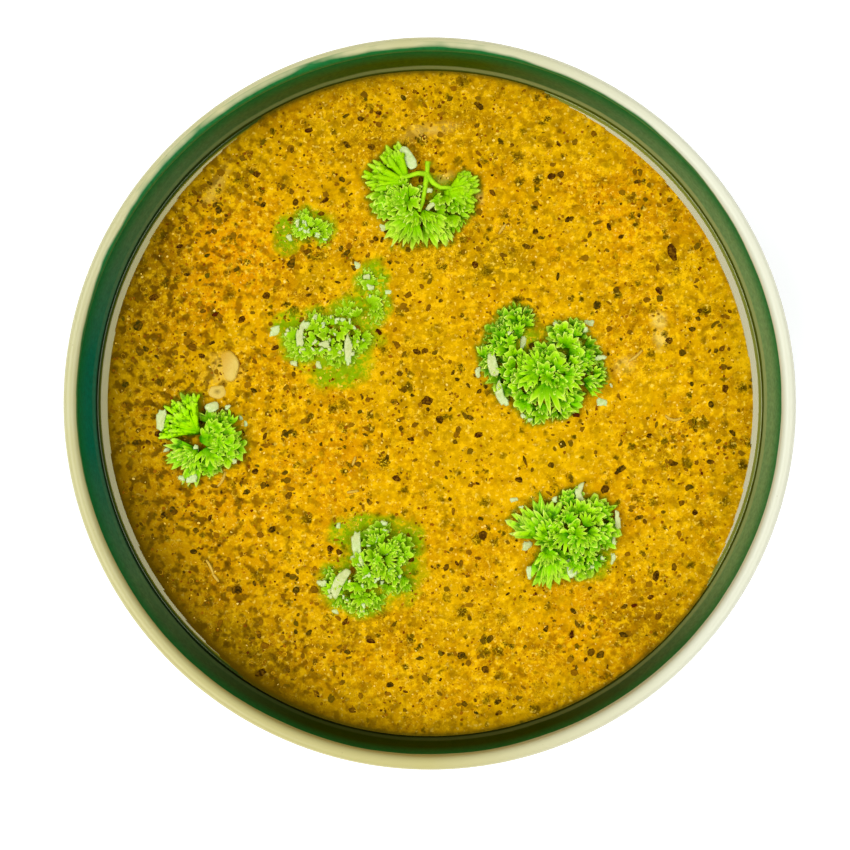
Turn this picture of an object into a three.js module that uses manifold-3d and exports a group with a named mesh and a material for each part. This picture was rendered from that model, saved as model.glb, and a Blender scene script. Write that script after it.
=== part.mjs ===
// Bowl of garlic soup with sprigs of curly parsley.
// Millimetres, +Z up. The origin is on the table, under the middle of the bowl.
// The bowl, the soup, each sprig and each slice of garlic is a closed solid with its own name.
import * as THREE from "three";
import { mergeVertices } from "three/addons/utils/BufferGeometryUtils.js";
import Module from "manifold-3d";

const wasm = await Module();
wasm.setup();

// Driving dimensions of the bowl.
const RIM_RADIUS = 80;
const BOWL_HEIGHT = 66;
const LIP_THICKNESS = 3.05;
const FLOOR_HEIGHT = 7;
const FLAT_FLOOR_RADIUS = 30;
const FOOT_RADIUS = 42;
const FOOT_WIDTH = 5;
const FOOT_HEIGHT = 3.6;
const FOOT_CHAMFER = 0.6;
const UNDERSIDE_HEIGHT = 2.6;
const STEP_ABOVE_FOOT = 0.8;
const LATHE_SEGMENTS = 56;

// Radius and height of the two handles that bend each side of the wall.
const INNER_WALL_HANDLES = [
  [64, FLOOR_HEIGHT],
  [73.1, 27],
];
const OUTER_WALL_HANDLES = [
  [65, 5],
  [75.4, 26],
];

// Driving dimensions of the soup.
const SOUP_DEPTH_BELOW_RIM = 15;
const SOUP_LEVEL = BOWL_HEIGHT - SOUP_DEPTH_BELOW_RIM;
const MENISCUS_RISE = 1.4;
const MENISCUS_WIDTH = 3.4;
const MENISCUS_STEEPNESS = 3;
const MENISCUS_CROWDING = 1.5;
const GAP = 0.3;

// Edges shorter than this are closed up where solids are joined or cut.
const SHORTEST_EDGE = 0.02;
const SAME_POINT = 1e-4;

// Points along each curved stretch of the bowl's profile.
const WALL_STEPS = 7;
const LIP_STEPS = 4;
const MENISCUS_STEPS = 3;

// Flakes of dried herb that float on the soup.
const FLAKE_COUNT = 60;
const FLAKE_LENGTH = [1.1, 2.4];
const FLAKE_SLIMNESS = [0.45, 0.85];
const FLAKE_PROUD = 0.35;
const FLAKE_ROOT = 0.4;
const FLAKE_SIDES = 5;
const FLAKE_SPACING = 5.2;
const FLAKE_TOP_SHARE = 0.7;
const FLAKE_SEED = 20;
const CLEARANCE = 1;
const LEAF_ZONE_SHARE = 0.6;

// Parsley. The crown is the ring of leaves on top of a sprig's mound.
const LEAF_THICKNESS = 0.5;
const LOBE_DEGREES = 36;
const STALK_RADIUS = 0.6;
const STALK_SIDES = 5;
const STALK_OVERRUN = 1.6;
const RUFFLE_SHARE = 0.22;
const NOTCH_SHARE = 0.76;
const MID_SHARE = 0.55;
const CORE_DEPTH = 1;
const CORE_FIT = 0.05;
const CROWN_SEAM_DEGREES = 12;
const CROWN_SINK = 0.6;
const MOUND_EDGE_SHARE = 0.8;

// Garlic.
const SLICE_THICKNESS = 1.2;
const SLICE_PROUD = 0.3;
const SLICE_POINTS = 12;

const GLAZE = { color: "#dcd9a4", roughness: 0.25 };
const SOUP = { color: "#c8930c", roughness: 0.3 };
const PARSLEY = { color: "#6cc414", roughness: 0.55 };
const GARLIC = { color: "#ecd98a", roughness: 0.45 };

// Each sprig lies in the photographed place.
// float: height of its leaf bases above the soup. lift: rise from there to its leaf tips.
// core: x, y and the two half widths of the dense mound that sinks a little into the soup.
// mound: height of the core's top above the soup. crown: x, y and reach of the leaves on it.
// stub: the end of the cut stalk, where one shows.
// fans: x, y of a leaf's base, the two headings in degrees that it spreads between, and its reach.
const SPRIGS = [
  {
    name: "parsley_sprig_1",
    float: 1,
    lift: 2,
    mound: 2,
    core: [-6.8, 46.4, 4.8, 4.8],
    crown: [-6.4, 45.6, 3.8],
    stub: [-0.4, 54.2],
    fans: [
      [-5, 50.4, 92, 142, 9],
      [-5.6, 50, 142, 205, 9.4],
      [-7, 46.6, 152, 235, 7.8],
      [-3, 43.6, 202, 275, 11],
      [-1.2, 43.6, 265, 335, 9.4],
      [1, 46.6, 285, 350, 10.2],
      [3.6, 47.6, 325, 400, 7.6],
      [4.8, 48, 10, 62, 6],
    ],
  },
  {
    name: "parsley_sprig_2",
    float: 0.7,
    lift: 0.9,
    mound: 1.1,
    core: [-27.2, 39.4, 3, 2],
    fans: [
      [-28.2, 39.8, 50, 205, 4.8],
      [-24.8, 38.6, -75, 70, 4],
    ],
  },
  {
    name: "parsley_sprig_3",
    float: 0.8,
    lift: 0.9,
    mound: 1.2,
    core: [-22.4, 15, 7, 4],
    fans: [
      [-13.6, 27.2, 0, 165, 4.8],
      [-13, 21.6, -80, 90, 5.2],
      [-17.6, 19.4, 60, 160, 5],
      [-16.6, 14, -80, 40, 4.8],
      [-20.4, 12.6, 215, 325, 6.2],
      [-28.4, 14.4, 130, 290, 6.2],
      [-25.6, 17.2, 35, 140, 4.8],
    ],
  },
  {
    name: "parsley_sprig_4",
    float: 1.1,
    lift: 2.6,
    mound: 2.6,
    core: [-47.2, -8.8, 3.8, 3.8],
    crown: [-46.8, -8.4, 3.4],
    stub: [-52.2, -7],
    fans: [
      [-52.2, -6.4, 90, 192, 9.2],
      [-52.4, -10.4, 165, 265, 7.6],
      [-47.8, -7, 36, 118, 6.6],
      [-46.4, -8, -15, 40, 5],
      [-46.8, -9, -65, -5, 6.2],
      [-50, -10, 225, 305, 8],
    ],
  },
  {
    name: "parsley_sprig_5",
    float: 1.4,
    lift: 3,
    mound: 3.6,
    core: [26.8, 5.4, 6.6, 5.4],
    crown: [27.2, 5, 5.4],
    fans: [
      [26, 3.8, 205, 262, 9.6],
      [27.6, 3.6, 262, 345, 8.2],
      [22.4, 6, 118, 222, 9.4],
      [25.4, 8, 34, 130, 6],
      [31, 7, 10, 60, 7.4],
      [18.4, 13.4, 60, 205, 7.2],
      [19.4, 17.6, 30, 165, 5.6],
      [14.8, 10.4, 130, 255, 5],
      [31.2, 13.8, 40, 165, 6],
      [33.6, 11, -30, 25, 5.8],
      [34.8, 5.6, -35, 32, 6.4],
    ],
  },
  {
    name: "parsley_sprig_6",
    float: 1.3,
    lift: 2.8,
    mound: 3.2,
    core: [33.6, -28.8, 6.2, 5.4],
    crown: [34.2, -28.6, 4.8],
    fans: [
      [27, -30.6, 116, 166, 12],
      [27.4, -29.8, 82, 124, 9.6],
      [26.6, -32, 238, 322, 10.6],
      [36.2, -26.6, 20, 112, 6.8],
      [37, -29, -58, 25, 6.6],
      [32.6, -31.8, 270, 330, 8.8],
      [31.4, -22.8, 60, 160, 4.6],
      [28.6, -30.4, 85, 250, 5.2],
    ],
  },
  {
    name: "parsley_sprig_7",
    float: 0.9,
    lift: 1.2,
    mound: 1.5,
    core: [-11, -34.8, 5.4, 4.8],
    fans: [
      [-11.2, -31.2, 45, 175, 5.6],
      [-8.4, -33.4, -60, 55, 6.2],
      [-9, -37.4, 255, 315, 7.4],
      [-18.2, -40.4, 145, 240, 7.6],
      [-15.6, -41, 225, 325, 8.2],
      [-14.2, -38.8, 100, 330, 4.2],
    ],
  },
];

// Pale strips of garlic on the soup: x, y, heading in degrees, length, bend in degrees.
const SHREDS = [
  [44.7, 9.4, 38, 4.4, 20],
  [53.1, -2.2, -15, 4.6, 90],
  [15.4, 38.1, 55, 3.2, 0],
  [-48.9, -39.2, 115, 4.2, 25],
  [-47.6, -40.6, 128, 2.6, 0],
  [-48.5, -19.1, 60, 4.4, 45],
  [-17.6, -14.3, 70, 2.4, 0],
  [-19.1, -20.2, 8, 3, 0],
];
const SHRED_WIDTH = 0.7;
const SHRED_PROUD = 0.35;
const SHRED_ROOT = 0.35;
const SHRED_STEPS = 3;
const SHRED_TAPER = 0.5;

// Slices of garlic that show a little above the soup.
// half: half length along the heading and half width across it. flat: the share of the half width
// at which one side is cut straight. tilt: how many degrees the straight side dips into the soup.
const SLICES = [
  { name: "garlic_slice_1", at: [-46, 8.5], half: [3.5, 2.9], flat: 0.5, heading: 280, tilt: 14 },
  { name: "garlic_slice_2", at: [-48.1, 2.7], half: [2, 1.7], flat: 0.8, heading: 186, tilt: 0 },
];

const radians = THREE.MathUtils.degToRad;
const lerp = THREE.MathUtils.lerp;

// A repeatable random draw between 0 and 1.
function makeRandom(seed) {
  const MULTIPLIER = 48271;
  const MODULUS = 2147483647;
  let state = seed;
  return () => {
    state = (state * MULTIPLIER) % MODULUS;
    return state / MODULUS;
  };
}

// Solids and meshes.
function solidOf(geometry) {
  const bare = geometry.clone();
  bare.deleteAttribute("normal");
  bare.deleteAttribute("uv");
  const merged = mergeVertices(bare, SAME_POINT);
  const corners = merged.index.array;
  const triVerts = [];
  for (let i = 0; i < corners.length; i += 3) {
    const [a, b, c] = corners.slice(i, i + 3);
    if (a !== b && b !== c && c !== a) triVerts.push(a, b, c);
  }
  return new wasm.Manifold(
    new wasm.Mesh({
      numProp: 3,
      vertProperties: merged.attributes.position.array,
      triVerts: new Uint32Array(triVerts),
      tolerance: SHORTEST_EDGE,
    }),
  );
}

function joined(solids) {
  return solids.reduce((whole, solid) => whole.add(solid));
}

function largestBody(solid) {
  const bodies = solid.decompose();
  return bodies.reduce((a, b) => (b.volume() > a.volume() ? b : a));
}

function meshOf(name, solid, finish) {
  const made = solid.getMesh();
  const geometry = new THREE.BufferGeometry();
  geometry.setAttribute("position", new THREE.BufferAttribute(made.vertProperties, made.numProp));
  geometry.setIndex(new THREE.BufferAttribute(made.triVerts, 1));
  const flat = geometry.toNonIndexed();
  flat.computeVertexNormals();
  const material = new THREE.MeshStandardMaterial({ ...finish, metalness: 0 });
  const mesh = new THREE.Mesh(flat, material);
  mesh.name = name;
  return mesh;
}

function turnedSolid(profile) {
  const geometry = new THREE.LatheGeometry(profile, LATHE_SEGMENTS);
  geometry.rotateX(Math.PI / 2);
  return solidOf(geometry);
}

// The bowl: foot ring, outer wall, rounded lip and inner wall.
const point = (radius, height) => new THREE.Vector2(radius, height);
const lipRadius = LIP_THICKNESS / 2;
const lipHeight = BOWL_HEIGHT - lipRadius;
const innerWall = new THREE.CubicBezierCurve(
  point(FLAT_FLOOR_RADIUS, FLOOR_HEIGHT),
  point(...INNER_WALL_HANDLES[0]),
  point(...INNER_WALL_HANDLES[1]),
  point(RIM_RADIUS - LIP_THICKNESS, lipHeight),
);
const outerWall = new THREE.CubicBezierCurve(
  point(FOOT_RADIUS + STEP_ABOVE_FOOT, FOOT_HEIGHT),
  point(...OUTER_WALL_HANDLES[0]),
  point(...OUTER_WALL_HANDLES[1]),
  point(RIM_RADIUS, lipHeight),
);

function footProfile() {
  const innerEdge = FOOT_RADIUS - FOOT_WIDTH;
  return [
    point(0, UNDERSIDE_HEIGHT),
    point(innerEdge - FOOT_CHAMFER, UNDERSIDE_HEIGHT),
    point(innerEdge, FOOT_CHAMFER),
    point(innerEdge + FOOT_CHAMFER, 0),
    point(FOOT_RADIUS - FOOT_CHAMFER, 0),
    point(FOOT_RADIUS, FOOT_CHAMFER),
  ];
}

function lipProfile() {
  const arc = [];
  for (let i = 1; i < LIP_STEPS; i++) {
    const angle = (Math.PI * i) / LIP_STEPS;
    const middle = RIM_RADIUS - lipRadius;
    arc.push(point(middle + lipRadius * Math.cos(angle), lipHeight + lipRadius * Math.sin(angle)));
  }
  return arc;
}

function bowlSolid() {
  return turnedSolid([
    ...footProfile(),
    ...outerWall.getPoints(WALL_STEPS),
    ...lipProfile(),
    ...innerWall.getPoints(WALL_STEPS).reverse(),
    point(0, FLOOR_HEIGHT),
  ]);
}

// The share of the inner wall's curve at which it passes a height.
function wallShareAt(height) {
  const BISECTIONS = 30;
  let low = 0;
  let high = 1;
  for (let i = 0; i < BISECTIONS; i++) {
    const middle = (low + high) / 2;
    if (innerWall.getPoint(middle).y < height) low = middle;
    else high = middle;
  }
  return low;
}

// A point of the inner wall, moved off it by the gap.
function besideWall(share) {
  const onWall = innerWall.getPoint(share);
  const along = innerWall.getTangent(share);
  return point(onWall.x - along.y * GAP, onWall.y + along.x * GAP);
}

// The soup fills the bowl and climbs a little where it wets the wall.
function soupSolid() {
  const contact = wallShareAt(SOUP_LEVEL + MENISCUS_RISE);
  const sides = [];
  for (let i = 0; i < contact * WALL_STEPS; i++) sides.push(besideWall(i / WALL_STEPS));
  sides.push(besideWall(contact));
  const edge = sides[sides.length - 1];
  const surface = [];
  for (let i = 1; i <= MENISCUS_STEPS; i++) {
    const share = i / MENISCUS_STEPS;
    const rise = (edge.y - SOUP_LEVEL) * (1 - share) ** MENISCUS_STEEPNESS;
    const inset = MENISCUS_WIDTH * share ** MENISCUS_CROWDING;
    surface.push(point(edge.x - inset, SOUP_LEVEL + rise));
  }
  return turnedSolid([
    point(0, FLOOR_HEIGHT + GAP),
    ...sides,
    ...surface,
    point(0, SOUP_LEVEL),
  ]);
}

// A flake: a low oval block, narrower on top, with its foot in the soup.
function flakeSolid({ x, y, length, slimness, heading }) {
  const height = FLAKE_ROOT + FLAKE_PROUD;
  const geometry = new THREE.CylinderGeometry(FLAKE_TOP_SHARE, 1, height, FLAKE_SIDES);
  geometry.rotateX(Math.PI / 2);
  geometry.scale(length / 2, (length * slimness) / 2, 1);
  geometry.rotateZ(radians(heading));
  geometry.translate(x, y, SOUP_LEVEL + FLAKE_PROUD - height / 2);
  return solidOf(geometry);
}

// Flakes, spread over the open soup: no two are close, and all keep clear of what lies on it.
function flakeSolids(keepOut) {
  const random = makeRandom(FLAKE_SEED);
  const reach = besideWall(wallShareAt(SOUP_LEVEL)).x - MENISCUS_WIDTH - FLAKE_LENGTH[1];
  const placed = [];
  while (placed.length < FLAKE_COUNT) {
    const radius = reach * Math.sqrt(random());
    const angle = 2 * Math.PI * random();
    const flake = {
      x: radius * Math.cos(angle),
      y: radius * Math.sin(angle),
      length: lerp(...FLAKE_LENGTH, random()),
      slimness: lerp(...FLAKE_SLIMNESS, random()),
      heading: 360 * random(),
    };
    const crowded = placed.some((p) => Math.hypot(p.x - flake.x, p.y - flake.y) < FLAKE_SPACING);
    const blocked = keepOut.some(
      (zone) => Math.hypot(zone.x - flake.x, zone.y - flake.y) < zone.radius + flake.length,
    );
    if (!crowded && !blocked) placed.push(flake);
  }
  return placed.map(flakeSolid);
}

// A strip that lies half sunk, straight or bent to an arc.
function shredSolid([x, y, heading, length, bend]) {
  const left = [];
  const right = [];
  const spot = new THREE.Vector2(0, 0);
  for (let i = 0; i <= SHRED_STEPS; i++) {
    const turn = radians(heading + bend * (i / SHRED_STEPS - 0.5));
    const fromMiddle = Math.abs((2 * i) / SHRED_STEPS - 1);
    const halfWidth = (SHRED_WIDTH / 2) * (1 - SHRED_TAPER * fromMiddle);
    const across = new THREE.Vector2(-Math.sin(turn), Math.cos(turn)).multiplyScalar(halfWidth);
    left.push(spot.clone().add(across));
    right.unshift(spot.clone().sub(across));
    const step = new THREE.Vector2(Math.cos(turn), Math.sin(turn));
    spot.addScaledVector(step, length / SHRED_STEPS);
  }
  const outline = new THREE.Shape([...right.reverse(), ...left.reverse()]);
  const geometry = new THREE.ExtrudeGeometry(outline, {
    depth: SHRED_ROOT + SHRED_PROUD,
    bevelEnabled: false,
  });
  geometry.translate(x, y, SOUP_LEVEL - SHRED_ROOT);
  return solidOf(geometry);
}

// A slice of garlic: an oval with one side cut straight. It is grown to cut its hollow in the soup.
function sliceSolid({ at, half, flat, heading, tilt }, grow) {
  const [halfLength, halfWidth] = half;
  const outline = new THREE.Shape();
  for (let i = 0; i < SLICE_POINTS; i++) {
    const angle = (2 * Math.PI * (i + 0.5)) / SLICE_POINTS;
    const along = (halfLength + grow) * Math.cos(angle);
    const across = Math.max((halfWidth + grow) * Math.sin(angle), -halfWidth * flat - grow);
    if (i === 0) outline.moveTo(along, across);
    else outline.lineTo(along, across);
  }
  const depth = SLICE_THICKNESS + 2 * grow;
  const geometry = new THREE.ExtrudeGeometry(outline, { depth, bevelEnabled: false });
  geometry.translate(0, 0, SLICE_PROUD - SLICE_THICKNESS - grow);
  geometry.rotateX(radians(tilt));
  geometry.rotateZ(radians(heading));
  geometry.translate(at[0], at[1], SOUP_LEVEL);
  return solidOf(geometry);
}

// The dense mound of a sprig, also used, a little larger, as the hollow it makes in the soup.
function coreSolid({ core, mound }, grow) {
  const [x, y, halfLength, halfWidth] = core;
  const geometry = new THREE.IcosahedronGeometry(1, 1);
  geometry.scale(halfLength + grow, halfWidth + grow, (CORE_DEPTH + mound) / 2 + grow);
  geometry.translate(x, y, SOUP_LEVEL + (mound - CORE_DEPTH) / 2);
  return solidOf(geometry);
}

// A thin wavy leaf: lobes with pointed tips and notches between them.
// Its upper and lower faces are split into the same triangles.
function leafSolid([x, y, from, to, reach], base, lift) {
  const lobes = Math.max(2, Math.round((to - from) / LOBE_DEGREES));
  const rays = 2 * lobes;
  const perSide = 1 + 2 * (rays + 1);
  const vertices = [];
  const triangles = [];
  for (const side of [LEAF_THICKNESS / 2, -LEAF_THICKNESS / 2]) {
    vertices.push(x, y, base + side);
    for (const share of [MID_SHARE, 1]) {
      for (let ray = 0; ray <= rays; ray++) {
        const isTip = ray % 2 === 1;
        const angle = radians(lerp(from, to, ray / rays));
        const radius = reach * share * (isTip ? 1 : lerp(1, NOTCH_SHARE, share));
        const rise = lift * share * (isTip ? 1 : 1 - RUFFLE_SHARE / share);
        vertices.push(x + radius * Math.cos(angle), y + radius * Math.sin(angle), base + side + rise);
      }
    }
  }
  const at = (ring, ray) => 1 + ring * (rays + 1) + ray;
  const under = (corners) => corners.map((corner) => corner + perSide).reverse();
  const quad = (a, b, c, d) => triangles.push(a, b, c, a, c, d);
  for (let ray = 0; ray < rays; ray++) {
    const inner = [0, at(0, ray), at(0, ray + 1)];
    const outer = [at(0, ray), at(1, ray), at(1, ray + 1), at(0, ray + 1)];
    triangles.push(...inner, ...under(inner));
    quad(...outer);
    quad(...under(outer));
  }
  const edge = [0];
  for (const ring of [0, 1]) edge.push(at(ring, 0));
  for (let ray = 1; ray <= rays; ray++) edge.push(at(1, ray));
  edge.push(at(0, rays), 0);
  for (let i = 0; i + 1 < edge.length; i++) {
    quad(edge[i], edge[i] + perSide, edge[i + 1] + perSide, edge[i + 1]);
  }
  const geometry = new THREE.BufferGeometry();
  geometry.setAttribute("position", new THREE.Float32BufferAttribute(vertices, 3));
  geometry.setIndex(triangles);
  return solidOf(geometry);
}

// A straight stalk between two points.
function stalkSolid(start, end, radius) {
  const axis = end.clone().sub(start);
  const geometry = new THREE.CylinderGeometry(radius, radius, axis.length(), STALK_SIDES);
  const turn = new THREE.Quaternion().setFromUnitVectors(
    new THREE.Vector3(0, 1, 0),
    axis.clone().normalize(),
  );
  geometry.applyQuaternion(turn);
  const middle = start.clone().add(end).multiplyScalar(0.5);
  geometry.translate(middle.x, middle.y, middle.z);
  return solidOf(geometry);
}

// A whole sprig: its mound, the cut stalk, a stalk to each leaf that is off the mound, and the leaves.
function sprigSolid(sprig) {
  const { float, lift, mound, core, crown, stub, fans } = sprig;
  const base = SOUP_LEVEL + float;
  const heart = new THREE.Vector3(core[0], core[1], base);
  const pieces = [coreSolid(sprig, 0)];
  const addStalk = (x, y, overrun) => {
    const end = new THREE.Vector3(x, y, base);
    end.add(end.clone().sub(heart).setLength(overrun));
    pieces.push(stalkSolid(heart, end, STALK_RADIUS));
  };
  if (stub) addStalk(...stub, 0);
  for (const fan of fans) {
    const [x, y] = fan;
    const fromHeart = Math.hypot((x - core[0]) / core[2], (y - core[1]) / core[3]);
    if (fromHeart > MOUND_EDGE_SHARE) addStalk(x, y, STALK_OVERRUN);
    pieces.push(leafSolid(fan, base, lift));
  }
  if (crown) {
    const [x, y, reach] = crown;
    const around = [x, y, CROWN_SEAM_DEGREES, 360 - CROWN_SEAM_DEGREES, reach];
    pieces.push(leafSolid(around, SOUP_LEVEL + mound - CROWN_SINK, lift));
  }
  return joined(pieces);
}

// Everything below the soup's level, but for the hollows that the sprigs' cores make.
function waterline(cores) {
  const geometry = new THREE.CylinderGeometry(RIM_RADIUS, RIM_RADIUS, BOWL_HEIGHT, LATHE_SEGMENTS);
  geometry.rotateX(Math.PI / 2);
  geometry.translate(0, 0, SOUP_LEVEL + GAP - BOWL_HEIGHT / 2);
  return solidOf(geometry).subtract(joined(cores));
}

// Circles that flakes and strips keep out of.
function keepOutZones() {
  const zones = [];
  for (const { core, fans } of SPRIGS) {
    zones.push({ x: core[0], y: core[1], radius: Math.max(core[2], core[3]) + CLEARANCE });
    for (const [x, y, , , reach] of fans) zones.push({ x, y, radius: reach * LEAF_ZONE_SHARE });
  }
  for (const { at, half } of SLICES) zones.push({ x: at[0], y: at[1], radius: half[0] + CLEARANCE });
  for (const [x, y, , length] of SHREDS) zones.push({ x, y, radius: length });
  return zones;
}

const soupHollows = [
  ...SPRIGS.map((sprig) => coreSolid(sprig, CORE_FIT + GAP)),
  ...SLICES.map((slice) => sliceSolid(slice, GAP)),
];
const soup = joined([soupSolid(), ...SHREDS.map(shredSolid), ...flakeSolids(keepOutZones())]);
const water = waterline(SPRIGS.map((sprig) => coreSolid(sprig, CORE_FIT)));

const bowlOfSoup = new THREE.Group();
bowlOfSoup.add(meshOf("bowl", bowlSolid(), GLAZE));
bowlOfSoup.add(meshOf("soup", largestBody(soup.subtract(joined(soupHollows))), SOUP));
for (const sprig of SPRIGS) {
  const trimmed = largestBody(sprigSolid(sprig).subtract(water));
  bowlOfSoup.add(meshOf(sprig.name, trimmed, PARSLEY));
}
for (const slice of SLICES) {
  bowlOfSoup.add(meshOf(slice.name, sliceSolid(slice, 0), GARLIC));
}

export default bowlOfSoup;
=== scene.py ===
"""Bowl of garlic soup with curly parsley: the looks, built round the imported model.
Shapes are worked out in millimetres in the model's own frame and become metres when a mesh is made."""
import math

import bpy
import numpy as np
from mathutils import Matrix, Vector
from mathutils.kdtree import KDTree


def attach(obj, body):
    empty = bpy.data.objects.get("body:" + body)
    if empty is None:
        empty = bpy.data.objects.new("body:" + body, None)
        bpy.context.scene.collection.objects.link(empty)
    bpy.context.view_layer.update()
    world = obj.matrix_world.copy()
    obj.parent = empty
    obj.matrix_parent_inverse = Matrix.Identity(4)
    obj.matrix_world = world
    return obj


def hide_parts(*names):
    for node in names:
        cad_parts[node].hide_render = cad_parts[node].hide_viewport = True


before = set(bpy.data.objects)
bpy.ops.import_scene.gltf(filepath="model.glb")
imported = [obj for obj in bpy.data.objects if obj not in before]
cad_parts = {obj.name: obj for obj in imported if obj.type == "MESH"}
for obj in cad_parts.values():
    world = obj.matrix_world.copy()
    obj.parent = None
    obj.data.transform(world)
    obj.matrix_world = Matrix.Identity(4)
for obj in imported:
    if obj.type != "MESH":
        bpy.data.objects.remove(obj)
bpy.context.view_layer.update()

MM = 0.001
FULL_TURN = 2 * math.pi

# The bowl and the soup, as in the solids.
RIM_RADIUS = 80.0
BOWL_HEIGHT = 66.0
LIP_THICKNESS = 3.05
FLOOR_HEIGHT = 7.0
FLAT_FLOOR_RADIUS = 30.0
FOOT_RADIUS = 42.0
FOOT_WIDTH = 5.0
FOOT_HEIGHT = 3.6
FOOT_CHAMFER = 0.6
UNDERSIDE_HEIGHT = 2.6
STEP_ABOVE_FOOT = 0.8
SOUP_LEVEL = 51.0
MENISCUS_RISE = 1.4
MENISCUS_WIDTH = 3.4
GAP = 0.3
LIP_HEIGHT = BOWL_HEIGHT - LIP_THICKNESS / 2
INNER_RIM_RADIUS = RIM_RADIUS - LIP_THICKNESS
WALL_FOOT_RADIUS = FOOT_RADIUS + STEP_ABOVE_FOOT
# Curves from the floor or the foot to the rim, each by its two ends and two handles.
INNER_WALL = [(FLAT_FLOOR_RADIUS, FLOOR_HEIGHT), (64, 7), (73.1, 27), (INNER_RIM_RADIUS, LIP_HEIGHT)]
OUTER_WALL = [(WALL_FOOT_RADIUS, FOOT_HEIGHT), (65, 5), (75.4, 26), (RIM_RADIUS, LIP_HEIGHT)]

# Flakes of dried herb, as in the solids.
FLAKE_COUNT = 60
FLAKE_LENGTH = (1.1, 2.4)
FLAKE_SLIMNESS = (0.45, 0.85)
FLAKE_PROUD = 0.35
FLAKE_SPACING = 5.2
FLAKE_SEED = 20
CLEARANCE = 1
LEAF_ZONE_SHARE = 0.6

# How finely the pieces are built, and the rings that divide flat discs.
BOWL_SEGMENTS = 256
WALL_ROWS = 33
UNDERSIDE_RING = 18
FLOOR_RING = 14
SOUP_RINGS = 145
SHORE_RINGS = 12
SHORE_STEP = 0.24

# The soup's smooth wet edge: its width, and the middle and half length of its two arcs in degrees.
WET_EDGE = 2.2
WET_ARCS = [(18, 52), (178, 58)]

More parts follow.
